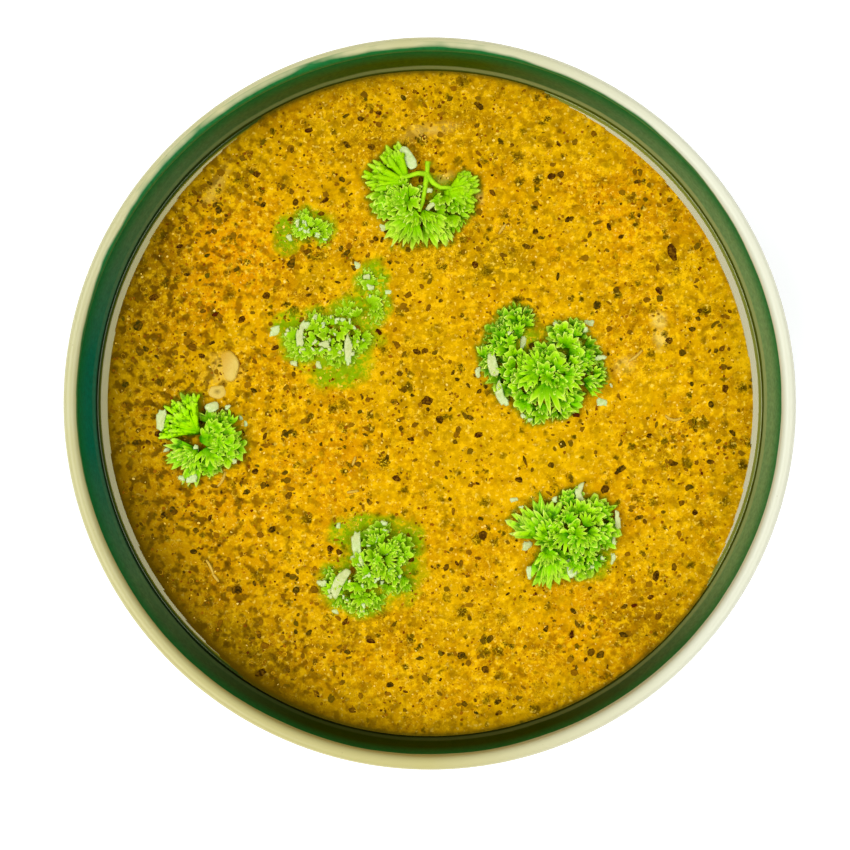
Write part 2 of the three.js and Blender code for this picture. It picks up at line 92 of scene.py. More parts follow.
# Sprigs. float: height of the leaf bases above the soup. mound: height of the middle above it.
# core: x, y and half widths of the dense middle. broad: x, y, heading and reach of smooth leaves on top.
# fans: x, y of a leaf's base, the headings in degrees that it spreads between, its reach, and its
# kind: "curly", "long" with smooth fingers, or "blade" with long toothed blades.
# dim: how far the soup's film hides the leaves. size: of the leaflets, beside the usual.
# lighter: added to the height that the painted shade low down follows. inset: how far the curly margins stay
# inside.
SPRIGS = [
    {"name": "parsley_sprig_1", "float": 1, "mound": 2, "core": (-6.8, 46.4, 4.8, 4.8),
     "dim": 0.6,
     "lighter": 0.25,
     "broad": [
        (-5, 45.2, 215, 5.4), (-5.6, 47.6, 190, 4.4), (-3.6, 44.2, 250, 5), (-1.6, 43.6, 290, 5.4),
        (4.2, 48.4, -35, 5),
     ],
     "fans": [
        (-5, 50.4, 92, 142, 9, "long"), (-5.6, 50, 142, 205, 9.4, "long"),
        (-7, 46.6, 152, 235, 7.8, "curly"), (-3, 43.6, 202, 275, 11, "blade"),
        (-1.2, 43.6, 265, 335, 9.4, "blade"), (1, 46.6, 285, 350, 10.2, "curly"),
        (3.6, 47.6, 325, 400, 7.6, "long"), (4.8, 48, 10, 62, 6, "long"),
     ]},
    {"name": "parsley_sprig_2", "float": 0.7, "mound": 1.1, "core": (-27.2, 39.4, 3, 2),
     "dim": 1,
     "size": 0.7,
     "fans": [
        (-28.2, 39.8, 50, 205, 4.8, "curly"), (-24.8, 38.6, -75, 70, 4, "curly"),
     ]},
    {"name": "parsley_sprig_3", "float": 0.8, "mound": 1.2, "core": (-22.4, 15, 7, 4),
     "dim": 1,
     "size": 0.7,
     "fans": [
        (-13.6, 27.2, 0, 165, 4.8, "curly"), (-13, 21.6, -80, 90, 5.2, "curly"),
        (-17.6, 19.4, 60, 160, 5, "curly"), (-16.6, 14, -80, 40, 4.8, "curly"),
        (-20.4, 12.6, 215, 325, 6.2, "curly"), (-28.4, 14.4, 130, 290, 6.2, "curly"),
        (-25.6, 17.2, 35, 140, 4.8, "curly"),
     ]},
    {"name": "parsley_sprig_4", "float": 1.1, "mound": 2.6, "core": (-47.2, -8.8, 3.8, 3.8),
     "broad": [
        (-52.2, -8.2, 10, 7.6), (-47, -7, 10, 5.2), (-47.6, -7.8, -30, 4.4), (-49.6, -9.4, 262, 6.4),
     ],
     "fans": [
        (-52.2, -6.4, 90, 192, 9.2, "long"), (-52.4, -10.4, 165, 265, 7.6, "blade"),
        (-47.8, -7, 36, 118, 6.6, "curly"), (-46.4, -8, -15, 40, 5, "curly"),
        (-46.8, -9, -65, -5, 6.2, "curly"), (-50, -10, 225, 305, 8, "curly"),
     ]},
    {"name": "parsley_sprig_5", "float": 1.4, "mound": 3.6, "core": (26.8, 5.4, 6.6, 5.4),
     "inset": 0,
     "broad": [
        (26.4, 5.4, 262, 9.6), (24.6, 7.6, 215, 6.4), (29, 6.2, 318, 7), (24.4, 8, 140, 5.4),
        (28, 7.2, 48, 5.4), (21.4, 8.4, 100, 4.2), (34.6, 4.4, -8, 6.2), (31.5, 6.5, 10, 4.2),
        (19.5, 15.5, 70, 3.6), (32.4, 15, 60, 3.2),
     ],
     "fans": [
        (26, 3.8, 205, 262, 9.6, "curly"), (27.6, 3.6, 262, 345, 8.2, "curly"),
        (22.4, 6, 118, 222, 9.4, "curly"), (25.4, 8, 34, 130, 6, "curly"), (31, 7, 10, 60, 7.4, "curly"),
        (18.4, 13.4, 60, 205, 7.2, "curly"), (19.4, 17.6, 30, 165, 5.6, "curly"),
        (14.8, 10.4, 130, 255, 5, "curly"), (31.2, 13.8, 40, 165, 6, "curly"),
        (33.6, 11, -30, 25, 5.8, "curly"), (34.8, 5.6, -35, 32, 6.4, "curly"),
     ]},
    {"name": "parsley_sprig_6", "float": 1.3, "mound": 3.2, "core": (33.6, -28.8, 6.2, 5.4),
     "broad": [
        (34.2, -28.6, 290, 5.4), (31, -28.8, 235, 6.4), (34.6, -27.8, 60, 4.8), (35, -28.8, -10, 4.6),
        (32, -25, 110, 4.2),
     ],
     "fans": [
        (27, -30.6, 116, 166, 12, "blade"), (27.4, -29.8, 82, 124, 9.6, "blade"),
        (26.6, -32, 238, 322, 10.6, "blade"), (36.2, -26.6, 20, 112, 6.8, "curly"),
        (37, -29, -58, 25, 6.6, "curly"), (32.6, -31.8, 270, 330, 8.8, "curly"),
        (31.4, -22.8, 60, 160, 4.6, "curly"), (28.6, -30.4, 85, 250, 5.2, "curly"),
     ]},
    {"name": "parsley_sprig_7", "float": 0.9, "mound": 1.5, "core": (-11, -34.8, 5.4, 4.8),
     "dim": 0.6,
     "size": 0.85,
     "broad": [
        (-10.6, -34.4, 80, 4.4), (-10.4, -34.8, -20, 4.4), (-11, -35.2, 215, 4.4),
     ],
     "fans": [
        (-11.2, -31.2, 45, 175, 5.6, "curly"), (-8.4, -33.4, -60, 55, 6.2, "curly"),
        (-9, -37.4, 255, 315, 7.4, "curly"), (-18.2, -40.4, 145, 240, 7.6, "curly"),
        (-15.6, -41, 225, 325, 8.2, "curly"), (-14.2, -38.8, 100, 330, 4.2, "curly"),
     ]},
]
SPRIG_SEED = 100
LEAF_RISE = 2.6

# Mounds lower than the first are wholly under the soup's film, and than the second at least partly.
SUNK_MOUND = 1.5
HALF_SUNK_MOUND = 1.6

# The first sprig's bare stalks: where they meet, and their radius there and at their ends.
STALK_HUB = (-0.6, 51.6)
STALK_HEIGHT = SOUP_LEVEL + 2.8
STALK_RADII = (0.62, 0.45)

# Slices of garlic: middle, half length and width, share of the half width where one side is cut
# straight, heading and tilt in degrees.
SLICES = [
    {"name": "garlic_slice_1", "at": (-46, 8.5), "half": (3.5, 2.9), "flat": 0.5, "heading": 280, "tilt": 14},
    {"name": "garlic_slice_2", "at": (-48.1, 2.7), "half": (2, 1.7), "flat": 0.8, "heading": 186, "tilt": 0},
]
SLICE_THICKNESS = 1.2
SLICE_PROUD = 0.3

# Pale strips of garlic on the soup: x, y, heading in degrees, length, bend in degrees.
SHREDS = [
    (44.7, 9.4, 38, 4.4, 20), (53.1, -2.2, -15, 4.6, 90), (15.4, 38.1, 55, 3.2, 0),
    (-48.9, -39.2, 115, 4.2, 25), (-47.6, -40.6, 128, 2.6, 0), (-48.5, -19.1, 60, 4.4, 45),
    (-17.6, -14.3, 70, 2.4, 0), (-19.1, -20.2, 8, 3, 0),
]
SHRED_RADIUS = 0.34

# Larger flakes and seeds that are easy to pick out in the soup: x, y, length, slimness, heading.
PLACED_FLAKES = [
    (24, 39, 1.7, 0.8, 20), (47, 50.2, 1.9, 0.5, 10), (54.9, 34.4, 4.6, 0.5, 110),
    (37.8, 22.2, 2.6, 0.8, 80), (59.4, 16.8, 1.8, 0.8, 0), (31.2, 41.7, 1.8, 0.7, 60),
    (29.2, 58.8, 1.8, 0.5, 120), (43.4, 37.8, 1.6, 0.6, 30), (27.6, 51.4, 2.2, 0.9, 0),
    (66.9, 3.3, 2.2, 0.7, 90), (-0.6, 0.6, 2.6, 0.9, 20), (2.3, -3.7, 2.2, 0.8, 100),
    (11.1, -7.1, 2.2, 0.6, 10), (12, -29.9, 2.6, 0.8, 30), (50, -43.9, 2, 0.6, 20),
    (51.3, -39.2, 2.8, 0.7, 80), (59, -18.9, 2, 0.7, 10), (60.1, -24.7, 1.8, 0.7, 60),
    (44.1, -46, 2.2, 0.5, 30), (47.2, -25.9, 1.7, 0.7, 30), (13.6, -53.4, 2.4, 0.7, 60),
    (15.6, -67.6, 1.8, 0.6, 15), (38.7, -57, 2.2, 0.7, 40), (63.5, -13.2, 1.7, 0.7, 0),
    (21.5, -12.8, 3, 0.25, 110), (49.7, -7.3, 1.8, 0.7, 30), (43.2, -15, 3.4, 0.4, 35),
    (-66.1, 17.7, 3.2, 0.7, 60), (-62.7, 24, 2.8, 0.6, 20), (-55, 29.2, 1.8, 0.5, 0),
    (-50.5, 33.5, 1.7, 0.5, 20), (-56.6, 35.6, 2, 0.5, 30), (-15.7, 64.5, 1.8, 0.7, 0),
    (-11.5, 65.8, 1.6, 0.8, 0), (-27.5, 61.8, 2.2, 0.6, 10), (-23.7, 46, 2.2, 0.5, 30),
    (-37, 24.5, 2.2, 0.8, 0), (-49.4, 13.7, 1.8, 0.5, 20), (-31.3, 31.7, 2.4, 0.8, 50),
    (-39.2, 52, 2, 0.8, 0), (-13.3, -53.9, 2.6, 0.5, 170), (-41.5, -20, 2.2, 0.6, 20),
    (-53, -28.8, 1.8, 0.8, 0), (-53.5, -33.5, 1.7, 0.8, 0), (-43.3, -42.3, 2.2, 0.8, 0),
    (-38.3, -61.1, 3.2, 0.5, 30), (-9, -63.8, 2, 0.7, 0), (-18.7, -56.3, 1.6, 0.8, 0),
    (-31.6, -6.4, 1.7, 0.6, 30),
]
PLACED_SEEDS = [
    (33.2, -2.6, 2, 0.6, -8), (31.4, -4.3, 0.8, 0.9, 0), (-48.6, 20.2, 1.8, 0.6, 30),
    (46.3, -45.8, 1.6, 0.6, 10),
]

# How many small things are scattered, and how deep a chip reaches into the soup.
HERB_COUNT = 1300
SPICE_COUNT = 1700
GRAIN_COUNT = 700
BUBBLE_COUNT = 900
CHIP_DEPTH = 0.25

# Stains in the soup: x, y, half widths, heading in degrees, strength.
GREEN_SPOTS = [
    (-12.6, 26.4, 3.2, 5.6, 0, 1), (-16.4, 20.4, 6, 4.6, 0, 1), (-22, 14.5, 10, 5.4, 10, 1),
    (-20.3, 8.4, 6.4, 4.2, 10, 1), (-31, 17, 4.4, 3.4, -20, 0.9), (-25.9, 20, 2.4, 2.2, 0, 0.8),
    (-17.8, -29.5, 4.8, 3.2, 0, 1), (-14.6, -27.6, 5, 2.4, 0, 0.9), (-18.2, -38.4, 2.6, 2, 0, 1),
    (-11, -36, 8.5, 8.5, 0, 0.9), (-4.5, -33, 3.5, 6, 0, 0.7), (-18, -42.4, 6.5, 4.5, 0, 0.9),
    (-27.4, 40.4, 5, 3, 10, 0.9), (-32.4, 38.2, 2.8, 4.4, 0, 0.9), (32.1, 12, 4.5, 3, 0, 0.6),
    (37, -35.5, 4, 4, 0, 0.7), (22, 14, 4, 4, 0, 0.5), (3.4, 47.2, 3.5, 3.4, 0, 1), (0.4, 50, 3, 2, 0, 0.6),
]
OLIVE_SPOTS = [
    (15.9, 32.4, 9, 7, 0, 0.8), (-61.5, 30.3, 7, 12, -20, 0.8), (-38.3, -57.5, 12, 6, -35, 0.8),
    (24.4, 15.9, 4.2, 4.6, 0, 1), (-51.9, -4, 3, 6, 0, 1), (30.1, -24.8, 2.6, 4, 0, 0.9),
    (-32.2, 37, 3, 4, 0, 0.8), (-63, 8, 5, 9, 0, 0.5), (-10, -50, 16, 4, 0, 0.4), (-43, 50, 9, 5, 45, 0.5),
    (20, 60, 16, 5, 0, 0.4), (54, 33, 4, 7, 0, 0.5), (50, -10, 6, 5, 0, 0.5), (2, 36, 12, 8, 0, 0.6),
    (-52, 55, 12, 5, 48, 0.5), (-28, 28, 10, 6, 0, 0.5), (-8, 60, 30, 6, 0, 0.5), (0, 8, 10, 20, 20, 0.35),
    (47, -49, 9, 7, 0, 0.8), (8, 66, 10, 5, 0, 0.6), (-14, -51, 9, 4, 0, 0.7), (12, 60, 8, 5, 0, 0.5),
    (52, 44, 8, 6, 0, 0.4),
]
ORANGE_SPOTS = [
    (-46, 31, 16, 13, 0, 1), (50, 44, 12, 10, 0, 0.8), (-25, -12, 16, 10, 0, 0.5),
    (-50, -30, 14, 14, 0, 0.5), (40, -52, 16, 10, 0, 0.6), (18, -15, 12, 8, 0, 0.4),
]
IVORY_SPOTS = [
    (52, 18.7, 1.5, 2, 0, 1.4), (52.2, 14.6, 1.5, 2.1, 0, 1.4), (3, 50.9, 1.9, 1.1, 20, 0.8),
    (11.1, 47.2, 0.9, 1.8, 20, 0.7), (0, 61.8, 5, 1.6, 15, 0.6), (-48.5, 49.3, 5, 1.5, 60, 0.5),
    (-47, 8, 4, 3.6, 0, 0.6), (44, 8.6, 2.6, 1.6, 40, 0.6),
]
YELLOW_SPOTS = [
    (28, -12.5, 7, 6, 0, 1), (20, -12, 22, 14, 0, 0.7), (10, 10, 30, 26, 0, 0.4),
]

# Whitish froth that sits against the leaves, and stands in for painted highlights of the soup there:
# x, y, half widths, heading.
FROTH_AND_HIGHLIGHTS = [
    (-5, 55.3, 2.5, 1.2, -52), (-0.4, 48, 0.7, 0.6, 0), (0.1, 44.4, 0.9, 0.6, 40),
    (-10.1, 43.9, 0.6, 0.5, 0), (-10.6, 39.6, 0.6, 0.6, 0), (-31.8, 37.6, 0.6, 0.6, 0),
    (-16.4, 31.3, 0.65, 0.65, 0), (-14.2, 28.6, 0.6, 0.6, 0), (-13.5, 26.3, 0.7, 0.6, 0),
    (-9.7, 25.2, 0.7, 0.6, 0), (-18.5, 11.9, 0.7, 2.8, -5), (-29.3, 15.5, 0.7, 2.4, 0),
    (-27.9, 17.7, 0.8, 0.6, 0), (-34.9, 16.4, 1.4, 0.8, 15), (-23.7, 13.4, 1, 0.6, 30),
    (-25.2, 8.7, 0.6, 0.7, 0), (-30.7, 9.1, 0.6, 0.6, 0), (-60.7, -3.5, 0.9, 2, 0),
    (-49.2, -0.8, 1.3, 1, 20), (-53, -10.5, 0.9, 0.8, 30), (-53.7, -5.1, 0.4, 0.4, 0),
    (-55.9, -16.8, 0.6, 0.5, 0), (-53.5, -17, 1, 0.8, 0), (-42.8, -3.3, 0.4, 0.4, 0),
    (-41.7, -4.6, 0.4, 0.5, 0), (-44, -13, 0.4, 0.6, 0), (-45.6, -0.8, 0.5, 0.5, 0),
    (-59.6, -10.5, 0.6, 0.4, 0), (14.1, 8.7, 1, 2.3, 15), (10.9, 7.1, 0.6, 0.9, 0),
    (15.9, 1.9, 0.9, 2.2, 25), (21.1, 13.9, 0.55, 1.3, 0), (17.9, 15.9, 0.4, 0.4, 0),
    (28.5, 17.7, 0.5, 0.7, 30), (36.2, 18.2, 0.8, 0.8, 0), (35.1, 16.6, 0.5, 0.5, 0),
    (38.4, 10.3, 1.1, 0.5, 0), (40.9, 4.6, 0.4, 0.7, 0), (38.9, 0.3, 0.9, 0.9, 0),
    (21.1, -2.8, 0.4, 0.6, 30), (22.6, -3.7, 0.5, 0.4, 0), (19, -21.8, 0.7, 0.5, 20),
    (20.6, -23.4, 0.4, 0.4, 0), (28.1, -21.6, 0.6, 0.5, 0), (33.5, -20, 0.8, 1.6, 0),
    (31.2, -25.2, 0.5, 0.9, 0), (42.3, -26.3, 0.6, 1.6, 0), (41.4, -31, 0.4, 0.7, 0),
    (41.6, -35.1, 0.5, 1, 0), (22, -32.2, 0.9, 0.9, 0), (22.4, -38, 0.6, 1.1, 0),
    (32.1, -37.1, 1.1, 1.8, 10), (38.9, -34.9, 0.4, 0.4, 0), (36.6, -36.9, 0.4, 0.4, 0),
    (-16.4, -32.6, 0.8, 3.6, 5), (-20.5, -40.3, 1, 3.2, -30), (-24.3, -40.5, 0.8, 0.7, 0),
    (-10.3, -27, 0.6, 0.5, 0), (-20.7, -27.7, 0.5, 0.5, 0), (-21.4, -47.1, 0.6, 0.5, 0),
    (-11.7, -39.2, 0.5, 0.5, 0), (-10.8, -40.5, 0.4, 0.4, 0),
]
# Small flecks of it lie on sunken leaves, at least this far above the soup's level.
FLECK_COUNT = 75
FLECK_LEAST_RISE = 0.9
# Its size beside the list's, how far it covers the leaves, its depth, and the limits of its top.
FROTH_SIZE = 1.15
FROTH_COVER = 0.15
FROTH_DEPTH = 0.8
FROTH_LOWEST = SOUP_LEVEL + 0.3
FROTH_HIGHEST = SOUP_LEVEL + 2.8

# The camera looks straight down. Its height and what it sees are in metres, and its shift in parts of
# the picture's width.
CAMERA_ABOVE_RIM = 0.36
FRAME_WIDTH_AT_RIM = 0.1849
SENSOR = 36.0
CAMERA_SHIFT = (-4.75 / 850, -21.5 / 850)

# Half width of the floor in metres.
STAGE_HALF = 40.0


def bezier(points, shares):
    a, b, c, d = np.array(points, float)
    t = np.asarray(shares, float)[..., None]
    return (1 - t) ** 3 * a + 3 * (1 - t) ** 2 * t * b + 3 * (1 - t) * t * t * c + t ** 3 * d


def bezier_slope(points, shares):
    a, b, c, d = np.array(points, float)
    t = np.asarray(shares, float)[..., None]
    slope = 3 * (1 - t) ** 2 * (b - a) + 6 * (1 - t) * t * (c - b) + 3 * t * t * (d - c)
    return slope / np.linalg.norm(slope, axis=-1, keepdims=True)


def beside_wall(shares):
    """Points of the inner wall, moved off it by the gap."""
    along = bezier_slope(INNER_WALL, shares)
    return bezier(INNER_WALL, shares) + GAP * np.stack([-along[..., 1], along[..., 0]], -1)


def wall_share_at(height):
    low, high = 0.0, 1.0
    for _ in range(40):
        middle = (low + high) / 2
        if beside_wall(middle)[1] < height:
            low = middle
        else:
            high = middle
    return low


def spun(x, y, heading):
    """A step of x and y, turned by a heading in degrees."""
    turn = math.radians(heading)
    return x * math.cos(turn) - y * math.sin(turn), x * math.sin(turn) + y * math.cos(turn)


def smooth_noise(x, y, cell, seed):
    """Noise from -1 to 1 over the plane, with features about one cell wide."""
    size = 512
    lattice = np.random.default_rng(seed).uniform(-1, 1, (size, size))
    u, v = np.asarray(x) / cell + 200, np.asarray(y) / cell + 200
    i, j = np.floor(u).astype(int), np.floor(v).astype(int)
    s, t = u - i, v - j
    s, t = s * s * (3 - 2 * s), t * t * (3 - 2 * t)
    i, j, k, m = i % size, j % size, (i + 1) % size, (j + 1) % size
    low = lattice[i, j] * (1 - s) + lattice[k, j] * s
    high = lattice[i, m] * (1 - s) + lattice[k, m] * s
    return low * (1 - t) + high * t


def circle(count):
    return np.linspace(0, FULL_TURN, count, endpoint=False)


def columns(*parts):
    """Points from their x, y and z, of which any can be one number for all."""
    return np.stack(np.broadcast_arrays(*parts), -1)


def level_ring(radius, height, bearings):
    return columns(radius * np.cos(bearings), radius * np.sin(bearings), height)


def grid_quads(grid):
    """Faces between the neighbours in a grid of point numbers."""
    return np.stack([grid[:-1, :-1], grid[1:, :-1], grid[1:, 1:], grid[:-1, 1:]], -1).reshape(-1, 4)


def ringed(first, rings, last):
    """A closed surface from a first point over rings of points to a last one: its points and faces."""
    count, end = len(rings[0]), len(rings) * len(rings[0])
    steps = np.arange(count)
    after = (steps + 1) % count
    band = columns(steps, after, after + count, steps + count)
    quads = np.vstack([band + row * count for row in range(len(rings) - 1)])
    ends = [columns(end, after, steps), columns(end + 1, steps + end - count, after + end - count)]
    return np.vstack([*rings, [first, last]]), [quads, *ends]


def flat_tree(points):
    """A search tree of points, all moved to height zero."""
    tree = KDTree(len(points))
    for index, (x, y, _) in enumerate(points):
        tree.insert((x, y, 0), index)
    tree.balance()
    return tree


def distances(tree, xs, ys):
    return np.array([tree.find((x, y, 0))[2] for x, y in zip(xs, ys)])


class Piece:
    """Collects points, faces and painted values, then becomes one mesh."""

    def __init__(self):
        self.points, self.faces, self.values, self.count = [], [], {}, 0

    def add(self, points, faces, **values):
        for corners in faces:
            self.faces.append(np.asarray(corners, int) + self.count)
        for name, value in values.items():
            self.values.setdefault(name, []).append(np.broadcast_to(np.asarray(value, float), len(points)))
        self.points.append(np.asarray(points, float))
        self.count += len(points)

    def make(self, name, material, slot, crease=None, replaces=()):
        mesh = bpy.data.meshes.new(name)
        points = np.concatenate(self.points) * MM
        corners = np.concatenate([f.ravel() for f in self.faces])
        sizes = np.concatenate([np.full(len(f), f.shape[1]) for f in self.faces])
        mesh.vertices.add(len(points))
        mesh.vertices.foreach_set("co", points.astype(np.float32).ravel())
        mesh.loops.add(len(corners))
        mesh.loops.foreach_set("vertex_index", corners.astype(np.int32))
        mesh.polygons.add(len(sizes))
        mesh.polygons.foreach_set("loop_start", np.concatenate([[0], np.cumsum(sizes)[:-1]]).astype(np.int32))
        for value, parts in self.values.items():
            layer = mesh.attributes.new(value, "FLOAT", "POINT")
            layer.data.foreach_set("value", np.concatenate(parts).astype(np.float32))
        mesh.update(calc_edges=True)
        mesh.validate()
        mesh.shade_smooth()
        if crease:
            mesh.set_sharp_from_angle(angle=math.radians(crease))
        mesh.materials.append(material)
        made = bpy.data.objects.new(name, mesh)
        bpy.context.scene.collection.objects.link(made)
        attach(made, "root")
        if replaces:
            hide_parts(*replaces)
        return made


def use_second_material(piece, material, faces):
    """Gives the marked faces of a made piece another material."""
    piece.data.materials.append(material)
    numbers = np.zeros(len(piece.data.polygons), np.int32)
    numbers[:len(faces)] = faces
    piece.data.polygons.foreach_set("material_index", numbers)


def linear(red, green, blue):
    """A screen colour from 0 to 255 as the light values that a shader takes."""
    share = np.array([red, green, blue]) / 255
    value = np.where(share <= 0.04045, share / 12.92, ((share + 0.055) / 1.055) ** 2.4)
    return (*map(float, value), 1.0)


def add_node(tree, kind, inputs, **settings):
    """A node with its settings, and its inputs by name or number: values, or sockets to link."""
    made = tree.nodes.new(kind)
    for name, value in settings.items():
        setattr(made, name, value)
    for socket, value in inputs.items():
        if isinstance(value, bpy.types.NodeSocket):
            tree.links.new(value, made.inputs[socket])
        else:
            made.inputs[socket].default_value = value
    return made


class Paint:
    """A material's nodes, made one at a time. Coordinates are in millimetres, and a value can be a
    socket, a number or the name of a value painted on the mesh."""

    def __init__(self, name):
        self.material = bpy.data.materials.new(name)
        self.material.use_nodes = True
        self.tree = self.material.node_tree
        self.tree.nodes.clear()
        metres = self.node("ShaderNodeTexCoord").outputs["Object"]
        scaled = self.node("ShaderNodeVectorMath", {0: metres, "Scale": 1 / MM}, operation="SCALE")
        self.place = scaled.outputs[0]

    def node(self, kind, inputs=(), **settings):
        inputs = {key: self.painted(v) if isinstance(v, str) else v for key, v in dict(inputs).items()}
        return add_node(self.tree, kind, inputs, **settings)

    def painted(self, name):
        return self.node("ShaderNodeAttribute", attribute_name=name).outputs["Fac"]

    def axes(self):
        return self.node("ShaderNodeSeparateXYZ", {0: self.place}).outputs

    def noise(self, size, detail=2.0, roughness=0.5, shift=0.0):
        place = self.place
        if shift:
            step = (shift, shift * 0.7, shift * 0.3)
            place = self.node("ShaderNodeVectorMath", {0: place, 1: step}).outputs[0]
        inputs = {"Vector": place, "Scale": 1 / size, "Detail": detail, "Roughness": roughness}
        return self.node("ShaderNodeTexNoise", inputs).outputs["Fac"]

    def cells(self, size):
        return self.node("ShaderNodeTexVoronoi", {"Vector": self.place, "Scale": 1 / size})

    def math(self, operation, first, second=0.0):
        return self.node("ShaderNodeMath", {0: first, 1: second}, operation=operation).outputs[0]

    def times(self, first, *others):
        for other in others:
            first = self.math("MULTIPLY", first, other)
        return first

    def plus(self, first, second):
        return self.math("ADD", first, second)

    def ramp(self, value, low, high, start=0.0, end=1.0):
        """Runs from start to end as value goes from low to high, and stays there."""
        inputs = {"Value": value, "From Min": low, "From Max": high, "To Min": start, "To Max": end}
        return self.node("ShaderNodeMapRange", inputs).outputs[0]

    def patches(self, noise, *limits):
        """Noise, given as its size, detail, roughness and shift, run through a ramp."""
        return self.ramp(self.noise(*noise), *limits)

    def layers(self, first, *coats):
        """Colours laid over the first one, each after the share that it covers. A colour is a screen
        colour from 0 to 255 or a socket."""
        below, *colors = (linear(*c) if isinstance(c, tuple) else c for c in (first, *(c for _, c in coats)))
        for (share, _), color in zip(coats, colors):
            inputs = {0: share, 6: below, 7: color}
            below = self.node("ShaderNodeMix", inputs, data_type="RGBA").outputs[2]
        return below

    def bump(self, height, depth, strength=1.0):
        inputs = {"Height": height, "Distance": depth * MM, "Strength": strength}
        return {"Normal": self.node("ShaderNodeBump", inputs).outputs[0]}

    def shade(self, color, roughness, specular, others=()):
        """Finishes the material, with any other inputs of the shader by name."""
        inputs = {"Base Color": color, "Roughness": roughness, "Specular IOR Level": specular, **dict(others)}
        shader = self.node("ShaderNodeBsdfPrincipled", inputs)
        self.node("ShaderNodeOutputMaterial", {0: shader.outputs[0]})
        return self.material


# Materials.
def glaze_material(name, specular):
    """Green under a cream rim line, with tints that change round the bowl as the light does: painted
    reflections, highlights and shade. What changes with height follows wavy: the height above the
    table, made uneven."""
    paint = Paint(name)
    ramp, times, plus, patches = paint.ramp, paint.times, paint.plus, paint.patches
    x, y, z = paint.axes()
    beside = paint.math("ABSOLUTE", y)
    toward = plus(times(x, 0.8), times(y, 0.6))
    outside = paint.math("SUBTRACT", 1.0, "inner")
    wavy = plus(z, patches((14, 3), 0.3, 0.7, -0.25, 0.25))
    pits = ramp(paint.cells(1.7).outputs["Distance"], 0.05, 0.12, 1.0, 0.0)
    cream = paint.layers(
        (198, 194, 136),
        (paint.noise(9, 4), (206, 204, 160)),
        (ramp(y, -70, 10, 0.75, 0.0), (198, 188, 118)),
        # Painted highlight: the cream is whiter towards the right.
        (ramp(x, 0, 60), (228, 229, 204)),
        (times(pits, patches((5, 1, 0.5, 31), 0.6, 0.66), 0.35), (150, 138, 84)),
    )
    mottle = paint.noise(5, 4)
    inner_green_and_reflections = paint.layers(
        (84, 134, 80),
        (mottle, (108, 148, 98)),
        # Painted reflections: of the lamps, teal at the left and paler at the right; of the soup, olive at
        # the top and dark olive at the bottom.
        (times(ramp(beside, 10, 42, 1.0, 0.0), ramp(x, 0, -20)), (4, 132, 104)),
        (ramp(x, 40, 72), (132, 170, 108)),
        (times(ramp(y, 52, 76), ramp(x, 12, 52, 1.0, 0.1)), (76, 98, 2)),
        (ramp(y, -38, -72), (44, 62, 0)),
    )
    # Painted highlight: a whitish line just above the soup line, stronger towards the upper right.
    wet = ramp(wavy, 54.2, 55.0, ramp(toward, -50, 76, 0.1, 0.9), 0.0)
    wall = paint.layers(
        (18, 92, 62),
        (mottle, (36, 106, 76)),
        ("inner", inner_green_and_reflections),
        (ramp(wavy, 58.5, 63.6, 0.0, 0.85), (6, 128, 62)),
        (patches((0.9, 3), 0.3, 0.7, 0.0, 0.3), (18, 44, 16)),
        # The painted highlight just above the soup.
        (times(wet, "inner"), (166, 178, 112)),
    )
    # Painted shade: a dark line where the wall meets the soup, lighter towards the upper right and teal at
    # the left, as the light falls.
    contact_shade_and_light = paint.layers(
        (26, 34, 4),
        (ramp(toward, -70, 70), (104, 116, 30)),
        (times(ramp(beside, 30, 62, 1.0, 0.0), ramp(x, 0, -20)), (50, 90, 54)),
    )
    above_soup = paint.math("MAXIMUM", ramp(wavy, 52.5, 52.8), outside)
    lean = plus(times(y, -0.015), times(x, 0.006))
    rim = paint.math("MAXIMUM", ramp(plus(wavy, lean), 64.5, 64.85), times(ramp(wavy, 60.2, 60.6), outside))
    color = paint.layers(contact_shade_and_light, (above_soup, wall), (rim, cream))
    bump = paint.bump(paint.noise(6, 3), 0.12, 0.5)
    return paint.shade(color, ramp(rim, 0, 1, 0.3, 0.24), specular, bump)


